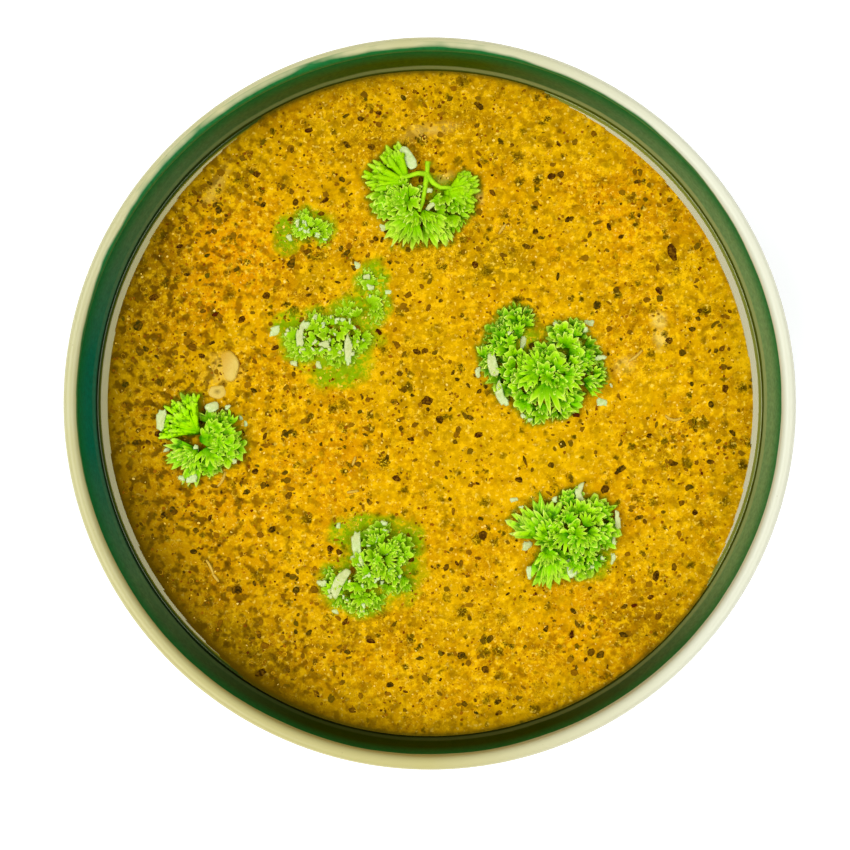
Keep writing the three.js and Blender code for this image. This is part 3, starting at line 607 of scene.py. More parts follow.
def soup_material():
    """Orange soup: broad stains, then sunk flakes, then froth's fine grain, then its edges: the wall's
    painted shadow and a painted shade line where it meets the wall.
    """
    paint = Paint("soup_surface")
    ramp, times, patches = paint.ramp, paint.times, paint.patches
    calm = ramp("yellow", 0.3, 1.0, 1.0, 0.4)
    busy = times(patches((10, 2, 0.5, 191), 0.4, 0.6, 0.3, 1.25), calm)
    patchy = times(patches((5, 2, 0.5, 5), 0.42, 0.6, 0.15, 0.75), calm)
    pebble = paint.noise(1.25, 2, 0.5, 11)
    film = paint.math("ABSOLUTE", paint.math("SUBTRACT", paint.noise(1.0, 1, 0.5, 97), 0.5))
    pores = paint.cells(1.25).outputs["Distance"]
    ragged = patches((0.9, 3, 0.6, 151), 0.3, 0.7, -0.12, 0.12)
    clusters = patches((8, 2, 0.5, 171), 0.4, 0.58, 0.5, 1.0)
    flakes = []
    for size, fewest in ((4.3, 0.3), (2.7, 0.55)):
        sunk = paint.cells(size)
        chance = paint.node("ShaderNodeSeparateColor", {0: sunk.outputs["Color"]}).outputs
        far = paint.math("DIVIDE", sunk.outputs["Distance"], ramp(chance[1], 0.0, 1.0, 0.55, 1.5))
        far = paint.plus(far, ragged)
        chosen = times(ramp(chance[0], fewest, fewest + 0.15), clusters)
        flakes.append((times(ramp(far, 0.17, 0.26, 0.9, 0.0), chosen), (92, 74, 0)))
        flakes.append((times(ramp(far, 0.02, 0.16, 0.9, 0.0), chosen), (44, 38, 0)))
    color = paint.layers(
        (220, 168, 0),
        (patches((13, 3, 0.55), 0.38, 0.62), (208, 148, 0)),
        (times("orange", 0.75), (234, 150, 0)),
        (times("yellow", 0.7), (228, 182, 0)),
        (times("olive", 0.8), (110, 92, 2)),
        ("green", (132, 172, 2)),
        ("ivory", (242, 206, 88)),
        (patches((4.6, 3, 0.55, 23), 0.52, 0.7, 0.0, 0.35), (146, 106, 0)),
        (times(ramp(pebble, 0.5, 0.66, 0.0, 0.32), busy), (160, 100, 0)),
        (ramp(pebble, 0.35, 0.47, 0.8, 0.0), (246, 192, 8)),
        *flakes,
        (times(patches((2.3, 4, 0.6, 47), 0.59, 0.67, 0.0, 0.45), busy), (112, 88, 0)),
        (times(patches((1.05, 2, 0.5, 61), 0.63, 0.7, 0.0, 0.7), busy), (112, 54, 1)),
        (patches((0.95, 2, 0.5, 83), 0.62, 0.7, 0.0, 0.8), (254, 214, 76)),
        (times(ramp(film, 0.008, 0.03, 1.0, 0.0), patchy), (250, 202, 28)),
        (times(patches((2.2, 2, 0.5, 137), 0.5, 0.62), "mottle"), (84, 50, 1)),
        (times(ramp(pores, 0.1, 0.24, 0.45, 0.0), patchy), (140, 86, 0)),
        (times(ramp(pores, 0.62, 0.8, 0.0, 0.3), patchy), (250, 198, 14)),
        (times("green", 0.4), (132, 170, 2)),
        (times("under", 0.85), (58, 116, 2)),
        # The wall's painted shadow on the soup.
        ("painted_wall_shadow", (104, 78, 2)),
        # A painted shade line where the soup meets the wall.
        (ramp("rim", 0.0, 0.8, 0.0, 0.7), (84, 80, 14)),
    )
    foam = paint.cells(1.1).outputs["Distance"]
    bump = paint.bump(paint.plus(times(foam, 0.6), pebble), 0.1, 0.7)
    return paint.shade(color, 0.25, 0.004, bump)


def wet_edge_material():
    paint = Paint("soup_wet_edge")
    x = paint.axes()[0]
    # Painted shade: a dark line where the edge meets the wall, lighter towards the right.
    border = paint.layers((24, 62, 20), (paint.ramp(x, -30, 30), (130, 140, 60)))
    color = paint.layers(
        (166, 154, 4),
        (paint.noise(3, 3), (150, 140, 4)),
        (paint.ramp(x, 20, 70, 0.0, 0.9), (146, 136, 4)),
        (paint.ramp("rim", 0.0, 0.5, 0.0, 0.9), border),
    )
    return paint.shade(color, 0.08, 1.0)


def herb_material():
    paint = Paint("dried_herb")
    color = paint.layers(
        (54, 12, 0),
        (paint.ramp("tone", 0.0, 0.4), (44, 38, 0)),
        (paint.ramp("tone", 0.4, 1.0), (92, 82, 2)),
        (paint.patches((0.55, 3), 0.46, 0.64, 0.0, 0.7), (132, 92, 4)),
        ("sunk", (176, 120, 2)),
    )
    return paint.shade(color, 0.5, 0.02, paint.bump(paint.noise(0.5, 2), 0.08))


def spice_material():
    paint = Paint("spice_specks")
    color = paint.layers(
        (72, 18, 1),
        (paint.ramp("tone", 0.0, 0.5), (120, 58, 2)),
        (paint.ramp("tone", 0.5, 1.0), (160, 98, 3)),
        ("sunk", (190, 128, 2)),
    )
    return paint.shade(color, 0.5, 0.02)


def grain_material():
    paint = Paint("pale_grains")
    color = paint.layers((244, 192, 40), ("tone", (252, 220, 110)))
    return paint.shade(color, 0.4, 0.04)


def bubble_material():
    paint = Paint("foam_rings")
    color = paint.layers((222, 164, 4), ("tone", (248, 202, 48)), ("shade", (168, 120, 4)))
    return paint.shade(color, 0.3, 0.04)


def garlic_material():
    paint = Paint("garlic_flesh")
    color = paint.layers(
        (212, 178, 62),
        (paint.noise(1.6, 4), (230, 202, 102)),
        ("sunk", (208, 158, 18)),
        ("pit", (120, 96, 12)),
    )
    return paint.shade(color, 0.32, 0.12, paint.bump(paint.noise(0.8, 3), 0.1))


def froth_and_highlight_material():
    paint = Paint("pale_froth_and_highlights")
    # Froth, which also stands in for painted highlights of the soup beside the leaves.
    color = paint.layers(
        (190, 214, 132),
        (paint.patches((0.7, 3), 0.35, 0.65), (216, 230, 168)),
        (paint.patches((7, 2, 0.5, 19), 0.45, 0.6, 0.0, 0.3), (206, 190, 112)),
    )
    return paint.shade(color, 0.25, 0.25, paint.bump(paint.noise(0.4, 2), 0.08))


def parsley_material():
    """Green with painted shade in creases, low down and between leaves, painted highlights at the leaves'
    edges and tips, and paler under the film.
    """
    paint = Paint("parsley_leaf")
    ramp, times, patches = paint.ramp, paint.times, paint.patches
    painted_gap_shade = times(patches((1.3, 3, 0.5, 7), 0.52, 0.62), ramp("rise", 0.4, 1.0, 0.85, 0.3))
    color = paint.layers(
        (52, 140, 0),
        (ramp("reach", 0.1, 0.6), (176, 238, 0)),
        (ramp("tone", 0.35, 1.0, 0.0, 0.7), (112, 208, 0)),
        (patches((1.6, 3), 0.45, 0.7, 0.0, 0.4), (96, 192, 0)),
        # Painted shade in the creases.
        (times("fold", 0.45), (30, 112, 0)),
        # Painted shade low down and between the leaves.
        (ramp("rise", 0.0, 0.4, 0.8, 0.0), (18, 90, 0)),
        (painted_gap_shade, (26, 104, 0)),
        (times("dim", 0.6), (158, 200, 6)),
        # Painted highlights along the leaves' edges and tips.
        (times("edge", 0.8), (228, 255, 84)),
        (ramp("edge", 0.8, 1.0, 0.0, 0.7), (244, 255, 158)),
    )
    return paint.shade(color, 0.4, 0.02, paint.bump(paint.noise(0.6, 2), 0.04))


# The bowl.
def bowl_profile():
    """Radius and height of each ring, from the underside round the rim to the floor."""
    foot_inside = FOOT_RADIUS - FOOT_WIDTH
    half = LIP_THICKNESS / 2
    underside = [(UNDERSIDE_RING, UNDERSIDE_HEIGHT), (foot_inside - FOOT_CHAMFER, UNDERSIDE_HEIGHT)]
    foot = [(foot_inside, FOOT_CHAMFER), (foot_inside + FOOT_CHAMFER, 0), (FOOT_RADIUS - FOOT_CHAMFER, 0),
            (FOOT_RADIUS, FOOT_CHAMFER), (FOOT_RADIUS, FOOT_HEIGHT - 0.5)]
    turn = np.linspace(0, np.pi, 13)[1:-1]
    lip = columns(RIM_RADIUS - half + half * np.cos(turn), LIP_HEIGHT + half * np.sin(turn))
    shares = np.linspace(0, 1, WALL_ROWS)
    outside, inside = bezier(OUTER_WALL, shares), bezier(INNER_WALL, shares[::-1])
    return np.vstack([underside, foot, outside, lip, inside, [(FLOOR_RING, FLOOR_HEIGHT)]])


rings = [level_ring(radius, height, circle(BOWL_SEGMENTS)) for radius, height in bowl_profile()]
points, faces = ringed((0, 0, UNDERSIDE_HEIGHT), rings, (0, 0, FLOOR_HEIGHT))
inner = np.zeros(len(points))
inner[int(points[:, 2].argmax()):] = 1
inner[-2] = 0
bowl = Piece()
bowl.add(points, faces, inner=inner)
glaze = glaze_material("glazed_ceramic", 0.3)
bowl_piece = bowl.make("glazed_bowl", glaze, "glaze", crease=38, replaces=["bowl"])
face_tops = np.concatenate([points[f, 2].max(1) for f in faces])
face_inner = np.concatenate([inner[f].min(1) for f in faces])
# The inner wall has hardly any mirror shine, as at so flat an angle it would show only orange soup.
# Its reflections of the lamps and the soup are painted into its colour instead.
inside_faces = (face_inner > 0) & (face_tops < LIP_HEIGHT + 0.1)
use_second_material(bowl_piece, glaze_material("glazed_inner_wall", 0.008), inside_faces)


# Parsley.
def sheet_mesh(top, thickness):
    """A closed thin sheet round a grid of points: its points and faces."""
    along = np.gradient(top, axis=0)
    across = np.gradient(top, axis=1)
    normal = np.cross(along, across)
    normal /= np.linalg.norm(normal, axis=-1, keepdims=True) + 1e-9
    shift = normal * thickness[..., None] / 2
    points = np.concatenate([(top + shift).reshape(-1, 3), (top - shift).reshape(-1, 3)])
    count = top.shape[0] * top.shape[1]
    grid = np.arange(count).reshape(top.shape[:2])
    upper = grid_quads(grid)
    border = np.concatenate([grid[0, :-1], grid[:-1, -1], grid[-1, :0:-1], grid[:0:-1, 0]])
    following = np.roll(border, -1)
    rim = np.stack([border, following, following + count, border + count], -1)
    return points, [upper, upper[:, ::-1] + count, rim]


def both_sides(values):
    return np.concatenate([values.ravel(), values.ravel()])


def leaflet(rng, at, heading, spread, reach, tilt, teeth, depth=0.4, curl=0.6, ruffle=0.5, bend=0.0):
    """A smooth fan with pointed lobes, painted shade running in to each notch and a curled, ruffled margin.
    """
    spots, limits, notch_shade = [0.0], [0.6], [0.5]
    for tooth in range(teeth):
        tip = rng.uniform(0.74, 1.0) * (1 - 0.2 * abs((2 * tooth + 1) / teeth - 1) ** 2)
        lean = rng.uniform(-0.12, 0.12)
        notch = (1 - depth * rng.uniform(0.6, 1.3)) * tip
        shoulder = notch * 0.5 + tip * 0.5
        spots += [tooth + 0.24 + lean / 2, tooth + 0.5 + lean, tooth + 0.76 + lean / 2, tooth + 1.0]
        limits += [shoulder, tip, shoulder, notch]
        notch_shade += [0.25, 0.0, 0.25, 0.6]
    spots, limits, notch_shade = np.array(spots), np.array(limits), np.array(notch_shade)
    limits[-1] = limits[0]
    rows = np.array([0.1, 0.38, 0.62, 0.8, 0.92, 1.0])
    out = rows[:, None] * limits[None, :]
    side = (2 * spots / teeth - 1)[None, :]
    turn = np.radians(heading + spread * side / 2) + 0.3 * rng.uniform(-1, 1) * out
    middle = np.radians(tilt + bend * out / 2)
    wave = np.sin(side * rng.uniform(3.5, 8.0) + rng.uniform(0, 6.3))
    height = reach * out * np.sin(middle) + curl * (out ** 3 + 0.5 * side ** 2 * out)
    height += ruffle * wave * out ** 2
    run = reach * out * np.cos(middle) * (1 - 0.12 * np.abs(wave) * out)
    top = columns(at[0] + run * np.cos(turn), at[1] + run * np.sin(turn), at[2] + height)
    points, faces = sheet_mesh(top, 0.3 - 0.16 * out)
    # Painted highlight along the margin, weaker at the notches, and painted shade running in to the notches.
    edge = np.clip((rows - 0.78) / 0.2, 0, 1)[:, None] * (1 - 0.8 * notch_shade)[None, :] * rng.uniform(0.5, 1.15)
    fold = notch_shade[None, :] * np.clip(out / 0.5, 0, 1)
    return points, faces, both_sides(out), both_sides(np.clip(edge, 0, 1)), both_sides(fold)


def finger(rng, at, heading, length, width, tilt, bend):
    """A long smooth lobe, domed across, with a narrow tip."""
    rows = np.array([0.0, 0.14, 0.3, 0.46, 0.62, 0.77, 0.89, 0.96, 1.0])
    sides = np.array([-1.0, -0.6, 0.0, 0.6, 1.0])
    widths = [0.5, 0.62, 0.85, 1.0, 0.74, 0.4, 0.14]
    half = width / 2 * np.interp(rows, [0, 0.2, 0.5, 0.75, 0.9, 0.97, 1], widths)
    turn = math.radians(heading)
    swerve = rng.uniform(-0.1, 0.1) * rows ** 2
    middle = np.radians(tilt + bend * rows / 2)
    run, rise = length * rows * np.cos(middle), length * rows * np.sin(middle)
    wave = 0.25 * np.sin(rows * rng.uniform(3, 6) + rng.uniform(0, 6.3)) * rows
    across = half[:, None] * sides[None, :]
    x = at[0] + (run * np.cos(turn + swerve))[:, None] - across * math.sin(turn)
    y = at[1] + (run * np.sin(turn + swerve))[:, None] + across * math.cos(turn)
    z = at[2] + (rise + wave)[:, None] - 0.32 * width * sides[None, :] ** 2
    out = rows[:, None] * np.ones_like(across)
    points, faces = sheet_mesh(columns(x, y, z), 0.4 - 0.16 * out)
    # Painted highlight at the tip, and painted shade along the sides near the base.
    tip_highlight = rng.uniform(0.3, 1.0) * out ** 9
    fold = 0.9 * np.abs(sides[None, :]) ** 4 * np.clip(1.2 - out, 0, 1)
    return points, faces, both_sides(0.3 + 0.7 * out), both_sides(tip_highlight), both_sides(fold)


def stalk(points, radii, sides=8):
    """A tapered stalk through points."""
    points, radii = np.asarray(points, float), np.asarray(radii, float)
    along = np.gradient(points, axis=0)
    along /= np.linalg.norm(along, axis=1, keepdims=True)
    aside = np.cross(along, [0, 0, 1])
    aside /= np.linalg.norm(aside, axis=1, keepdims=True)
    above = np.cross(aside, along)
    ring = circle(sides)[None, :, None]
    outward = np.cos(ring) * aside[:, None] + np.sin(ring) * above[:, None]
    return ringed(points[0], points[:, None] + radii[:, None, None] * outward, points[-1])


def spread_out(rng, count, draw, spacing):
    """Draws places and keeps those at least the spacing apart."""
    kept = []
    for _ in range(count):
        place = draw()
        if all(math.hypot(place[0] - x, place[1] - y) > spacing for x, y, *_ in kept):
            kept.append(place)
    return kept


def sprig_piece(sprig, seed):
    """A sprig: ruffled leaflets over each fan and over the mound, long fingers, and broad leaves."""
    rng = np.random.default_rng(seed)
    piece = Piece()
    mound, leaf_base = sprig["mound"], SOUP_LEVEL + sprig["float"]
    sunk = mound < SUNK_MOUND
    core_x, core_y, half_x, half_y = sprig["core"]
    top = SOUP_LEVEL + mound + LEAF_RISE
    spacing = 1.2 if sunk else 1.6
    inset = sprig.get("inset", 0.45)

    def add(made, tone=None):
        points, faces, out, edge, fold = made
        # rise: height over the soup, which the painted shade low down follows.
        rise = np.clip((points[:, 2] - SOUP_LEVEL) / (top - SOUP_LEVEL) + sprig.get("lighter", 0), 0, 1)
        tone = rng.uniform(0, 1) if tone is None else tone
        dim = sprig.get("dim", 0)
        piece.add(points, faces, reach=out, edge=edge, fold=fold, tone=tone, rise=rise, dim=dim)

    def dome(x, y):
        """Height of the mound's leaf bases over the soup at a place."""
        far = math.hypot((x - core_x) / half_x, (y - core_y) / half_y)
        return mound * max(0.0, 1 - (far / 1.5) ** 2)

    def kept_clear(x, y):
        """Whether a broad leaf or long fingers should be seen at a place."""
        for at_x, at_y, start, end, reach, kind in sprig["fans"]:
            bearing = (math.degrees(math.atan2(y - at_y, x - at_x)) - start) % 360
            near = 0.2 * reach < math.hypot(x - at_x, y - at_y) < 1.1 * reach
            if kind == "long" and bearing < end - start and near:
                return True
        for at_x, at_y, heading, reach in sprig.get("broad", []):
            along, across = spun(x - at_x, y - at_y, -heading)
            if 0.2 * reach < along < 0.75 * reach and abs(across) < 0.3 * along:
                return True
        return False

    def add_leaflet(x, y, heading, tilt, bend=-12.0, lift=0.0):
        if kept_clear(x, y):
            return
        reach = rng.uniform(2.4, 5.4) * sprig.get("size", 1.0)
        turn = math.radians(heading)
        base = (x - 0.5 * reach * math.cos(turn), y - 0.5 * reach * math.sin(turn))
        z = SOUP_LEVEL + 0.25 + max(dome(*base), dome(x, y)) * 0.8 + lift
        spread, teeth = rng.uniform(70, 150), int(rng.integers(3, 6))
        curl = rng.uniform(0.3, 1.1) * (0.5 if sunk else 1.0)
        ruffle = rng.uniform(0.4, 1.2) * (0.6 if sunk else 1.0)
        add(leaflet(rng, (*base, z), heading, spread, reach, tilt, teeth, 0.3, curl, ruffle, bend))

    def add_fingers(x, y, start, total, reach):
        """Two layers of long fingers, each forked near its tip."""
        count = max(3, round(total / 9))
        for layer, (share, tilt, bend, lift) in enumerate([(1.0, 18, -32, 0.7), (0.76, 27, -38, 1.4)]):
            for i in range(count - layer):
                heading = start + total * (i + 0.5 + 0.5 * layer) / count + rng.uniform(-3, 3)
                length = reach * share * rng.uniform(0.9, 1.06)
                base = (x + rng.uniform(-0.3, 0.3), y + rng.uniform(-0.3, 0.3), leaf_base - 0.3 + lift)
                slope, width, tone = tilt + rng.uniform(-2, 5), rng.uniform(1.0, 1.4), rng.uniform(0, 0.8)
                add(finger(rng, base, heading, length, width, slope, bend), tone)
                for aside in (-1, 1):
                    fork_at = rng.uniform(0.6, 0.78)
                    middle, turn = math.radians(slope + bend * fork_at / 2), math.radians(heading)
                    run = length * fork_at * math.cos(middle)
                    fork = (base[0] + run * math.cos(turn), base[1] + run * math.sin(turn),
                            base[2] + length * fork_at * math.sin(middle) - 0.1)
                    outward = heading + aside * rng.uniform(16, 30)
                    size = (length * rng.uniform(0.16, 0.26), 0.7 * width)
                    add(finger(rng, fork, outward, *size, slope + bend * fork_at, -20), tone)

    def add_blades(x, y, start, total, reach):
        """Three layers of long toothed blades."""
        count = max(2, round(total / 17))
        for layer, (share, tilt, lift) in enumerate([(1.15, 16, 0.4), (0.85, 24, 1.1), (0.5, 34, 1.6)]):
            for i in range(count - layer % 2):
                heading = start + total * (i + 0.5 + 0.5 * (layer % 2)) / count + rng.uniform(-7, 7)
                base = (x + rng.uniform(-0.4, 0.4), y + rng.uniform(-0.4, 0.4), leaf_base - 0.3 + lift)
                spread, length = rng.uniform(32, 44), min(reach * share, 12.7) * rng.uniform(0.92, 1.1)
                curl = rng.uniform(0.2, 0.7)
                add(leaflet(rng, base, heading, spread, length, tilt, 3, 0.26, curl, 0.7, -28))

    def add_curls(x, y, start, end, reach):
        """Curly leaflets: low ones along the fan's margin, then raised ones inside it."""
        def inside_fan(inner, outer):
            heading = rng.uniform(start, end)
            step_x, step_y = spun(math.sqrt(rng.uniform(inner ** 2, outer ** 2)), 0, heading)
            return x + step_x, y + step_y, heading

        margin = max(1.0, reach - 2.2 - inset)
        edge = max(margin + 0.1, reach - 1.1 - inset)
        for px, py, heading in spread_out(rng, 200, lambda: inside_fan(margin, edge), spacing):
            heading, tilt = heading + rng.uniform(-25, 25), (2 if sunk else 8) + rng.uniform(-4, 8)
            add_leaflet(px, py, heading, tilt, bend=-26)
        for px, py, heading in spread_out(rng, 260, lambda: inside_fan(0.0, margin), spacing):
            heading, tilt = heading + rng.uniform(-55, 55), (8 if sunk else 22) + rng.uniform(-10, 18)
            add_leaflet(px, py, heading, tilt, lift=0.2 if sunk else rng.uniform(0.4, 1.2))

    def inside_core():
        heading, far = rng.uniform(0, 360), math.sqrt(rng.uniform(0, 1))
        turn = math.radians(heading)
        return core_x + far * half_x * math.cos(turn), core_y + far * half_y * math.sin(turn), heading, far

    for x, y, start, end, reach, kind in sprig["fans"]:
        if kind == "long":
            add_fingers(x, y, start, end - start, reach)
        elif kind == "blade":
            add_blades(x, y, start, end - start, reach)
        else:
            add_curls(x, y, start, end, reach)
    for px, py, heading, far in spread_out(rng, 400, inside_core, 1.6):
        tilt = (14 if sunk else 52 - 26 * far) + rng.uniform(-12, 12)
        add_leaflet(px, py, heading + rng.uniform(-60, 60), tilt, lift=0.0 if sunk else rng.uniform(0.2, 0.8))
    for x, y, heading, reach in sprig.get("broad", []):
        z = SOUP_LEVEL + max(sprig["float"], dome(x, y)) + (0.5 if sunk else 1.3)
        add(leaflet(rng, (x, y, z), heading, 96, reach, 20, 5, 0.46, 0.4, 0.9, -38), tone=0.1)
    return piece


sprig_pieces = [sprig_piece(sprig, SPRIG_SEED + number) for number, sprig in enumerate(SPRIGS)]

# Heights are from the hub. The cut end comes first, then a stalk to each group of fans.
hub = (*STALK_HUB, 0)
stalks = [
    [(-0.4, 54.4, 0.3), (-0.5, 53.2, 0.2), hub],
    [hub, (-2.6, 51.8, 0), (-5.4, 51.0, -0.2), (-8.2, 50.6, -0.4)],
    [hub, (-1.1, 48.4, 0), (-1.6, 45.6, -0.2), (-2.4, 43.2, -0.4)],
    [hub, (0.8, 49.6, 0), (2.4, 48.6, -0.2), (5.0, 48.6, -0.4)],
]
for path in stalks:
    points, faces = stalk(np.array(path) + [0, 0, STALK_HEIGHT], np.linspace(*STALK_RADII, len(path)))
    sprig_pieces[0].add(points, faces, reach=0.9, edge=0.15, fold=0.0, tone=0.0, rise=1.0, dim=0.3)
parsley = parsley_material()
for sprig, piece in zip(SPRIGS, sprig_pieces):
    piece.make(sprig["name"] + "_leaves", parsley, "parsley", replaces=[sprig["name"]])


def points_of(pieces):
    return np.concatenate([points for piece in pieces for points in piece.points])


leaf_points = points_of(sprig_pieces)
raised_leaves = points_of(p for p, sprig in zip(sprig_pieces, SPRIGS) if sprig["mound"] > HALF_SUNK_MOUND)
sunken_leaves = points_of(p for p, sprig in zip(sprig_pieces, SPRIGS) if sprig["mound"] < HALF_SUNK_MOUND)


# The soup.
def nearness(points, reach, xs, ys):
    """From 1 at the leaf points that are above the soup to 0 at a distance from them."""
    tree = flat_tree(points[points[:, 2] > SOUP_LEVEL][::3])
    return np.clip(1 - distances(tree, xs, ys) / reach, 0, 1)


def arc_share(degrees):
    """Width of the smooth wet edge at each bearing, from 1 amid an arc to 0 outside the arcs."""
    share = np.zeros_like(degrees)
    for middle, half in WET_ARCS:
        off = (degrees - middle + 180) % 360 - 180
        share = np.maximum(share, np.sqrt(np.clip(1 - (off / half) ** 2, 0, 1)))
    return share


def spot_share(x, y, spots, raggedness=1.0):
    """How strongly a set of oval stains covers each point, from 0 to 1."""
    share = np.zeros_like(x)
    ragged = raggedness * (0.35 * smooth_noise(x, y, 2.4, 71) + 0.25 * smooth_noise(x, y, 1.0, 72))
    for at_x, at_y, half_x, half_y, heading, strength in spots:
        along, across = spun(x - at_x, y - at_y, -heading)
        far = np.hypot(along / half_x, across / half_y) + ragged
        share = np.maximum(share, strength * np.clip(1.35 - far, 0, 1))
    return share


def meniscus(from_wall):
    """How far the soup has climbed at a distance from the wall: gently at first, then steeply."""
    near = np.clip(1 - from_wall / MENISCUS_WIDTH, 0, 1)
    return MENISCUS_RISE * (0.62 * near ** 1.5 + 0.38 * near ** 7)


# The surface is a square grid bent into a disc: square rings of it become circles.
contact = wall_share_at(SOUP_LEVEL + MENISCUS_RISE)
soup_radius = float(beside_wall(contact)[0])
open_rings = np.linspace(0, soup_radius - SHORE_STEP * SHORE_RINGS, SOUP_RINGS - SHORE_RINGS + 1)
ring_radii = np.concatenate([open_rings, soup_radius - SHORE_STEP * np.arange(SHORE_RINGS - 1, -1, -1)])
side = np.arange(-SOUP_RINGS, SOUP_RINGS + 1)
column, row = (a.ravel() for a in np.meshgrid(side, side, indexing="ij"))
ring_number = np.maximum(abs(column), abs(row))
mostly_x = abs(column) >= abs(row)
with np.errstate(divide="ignore", invalid="ignore"):
    eighth = np.where(mostly_x, row / column, column / row) * math.pi / 4
eighth = np.nan_to_num(eighth)
angle = np.where(mostly_x, np.where(column >= 0, 0, math.pi) + eighth,
                 np.where(row >= 0, math.pi / 2, 1.5 * math.pi) - eighth)
soup_x = ring_radii[ring_number] * np.cos(angle)
soup_y = ring_radii[ring_number] * np.sin(angle)
from_wall = soup_radius - ring_radii[ring_number]

# It climbs to the wall and to the leaves, and is pebbled with froth away from the wall.
shoreline = flat_tree(leaf_points[np.abs(leaf_points[:, 2] - SOUP_LEVEL) < 0.3])
wet = 0.55 * np.exp(-distances(shoreline, soup_x, soup_y) / 0.8)
pebbles = (0.05 * smooth_noise(soup_x, soup_y, 1.5, 61) + 0.07 * smooth_noise(soup_x, soup_y, 3.1, 62)
           + 0.08 * smooth_noise(soup_x, soup_y, 9.0, 63))
calm = np.clip((from_wall - MENISCUS_WIDTH) / 1.5, 0, 1)
soup_z = SOUP_LEVEL + meniscus(from_wall) + wet * calm + pebbles * calm
width = 2 * SOUP_RINGS + 1
quads = grid_quads(np.arange(width * width).reshape(width, width))

# The shadow of the wall, widest at the left, and the darker flecks of the left side.
outer = np.clip((ring_radii[ring_number] - 36) / 24, 0, 1)
painted_wall_shadow = (np.clip(1 - from_wall / 5, 0, 1) ** 2 * np.clip(0.4 - soup_x / 120, 0, 1)
         + 0.35 * np.clip((-soup_x - 36) / 35, 0, 1) ** 1.5
         + 0.45 * np.clip((-soup_x - soup_y - 70) / 35, 0, 1)
         + 0.08 * outer * np.clip(1.3 - 1.3 * np.clip(np.cos(angle - math.radians(25)), 0, 1), 0, 1))
leftness = np.clip((-0.9 * soup_x - 0.15 * soup_y - 16) / 45, 0, 1)
stained = np.clip(2.0 * spot_share(soup_x, soup_y, GREEN_SPOTS, 0.5), 0, 1)
painted = {
    "green": np.maximum(stained, nearness(sunken_leaves, 1.2, soup_x, soup_y) ** 0.8),
    "under": nearness(raised_leaves, 0.8, soup_x, soup_y),
    "olive": 0.8 * spot_share(soup_x, soup_y, OLIVE_SPOTS),
    "orange": spot_share(soup_x, soup_y, ORANGE_SPOTS),
    "ivory": spot_share(soup_x, soup_y, IVORY_SPOTS),
    "yellow": spot_share(soup_x, soup_y, YELLOW_SPOTS),
    "painted_wall_shadow": painted_wall_shadow,
    "mottle": np.clip(0.25 + 0.65 * leftness + 0.12 * outer, 0, 0.85),
    # rim: a painted shade line along the soup's edge.
    "rim": np.clip(1 - from_wall / 0.9, 0, 1),
}
soup = Piece()
soup.add(columns(soup_x, soup_y, soup_z), [quads], **painted)

# Below its edge the soup fills the bowl, down the wall and over the floor.
edge_ring = np.flatnonzero(ring_number == SOUP_RINGS)
edge_ring = edge_ring[np.argsort(np.mod(angle[edge_ring], FULL_TURN))]
around = np.mod(angle[edge_ring], FULL_TURN)
below = beside_wall(np.linspace(contact, 0, 6)[1:])
sides = np.concatenate([level_ring(radius, height, around) for radius, height in below])
rings = np.vstack([edge_ring - width * width, np.arange(len(sides)).reshape(len(below), -1)])
after = np.roll(rings, -1, axis=1)
walls = [columns(rings[i], rings[i + 1], after[i + 1], after[i]) for i in range(len(below))]
cap = columns(rings[-1], len(sides), after[-1])
floor_middle = (0, 0, FLOOR_HEIGHT + GAP)
soup.add(np.vstack([sides, [floor_middle]]), [*walls, cap], **{**dict.fromkeys(painted, 0), "rim": 1})
soup_piece = soup.make("soup_body", soup_material(), "soup", replaces=["soup"])
at_edge = (from_wall[quads] < WET_EDGE * arc_share(np.degrees(angle[quads]))).all(1)
use_second_material(soup_piece, wet_edge_material(), at_edge)


# Small things on the soup.
def chip(rng, x, y, z, length, slimness, heading, thick, sides=7):
    """An irregular flat chip with a slightly domed top."""
    ring = circle(sides) + rng.uniform(-0.2, 0.2, sides)
    jag = rng.uniform(0.72, 1.15, sides)
    half = length / 2 * jag
    off_x, off_y = spun(half * np.cos(ring), half * slimness * np.sin(ring), heading)
    lift = columns(off_x, off_y) @ rng.uniform(-0.12, 0.12, 2)
    foot = columns(x + off_x, y + off_y, z - CHIP_DEPTH)
    high = z + thick * rng.uniform(0.6, 1.0, sides) + lift
    brow = columns(x + 0.86 * off_x, y + 0.86 * off_y, high)
    return ringed((x, y, z - CHIP_DEPTH), [foot, brow], (x, y, z + thick * 1.1))


def lcg(state):
    """The same repeatable draws that place the solids' flakes."""
    while True:
        state = state * 48271 % 2147483647
        yield state / 2147483647


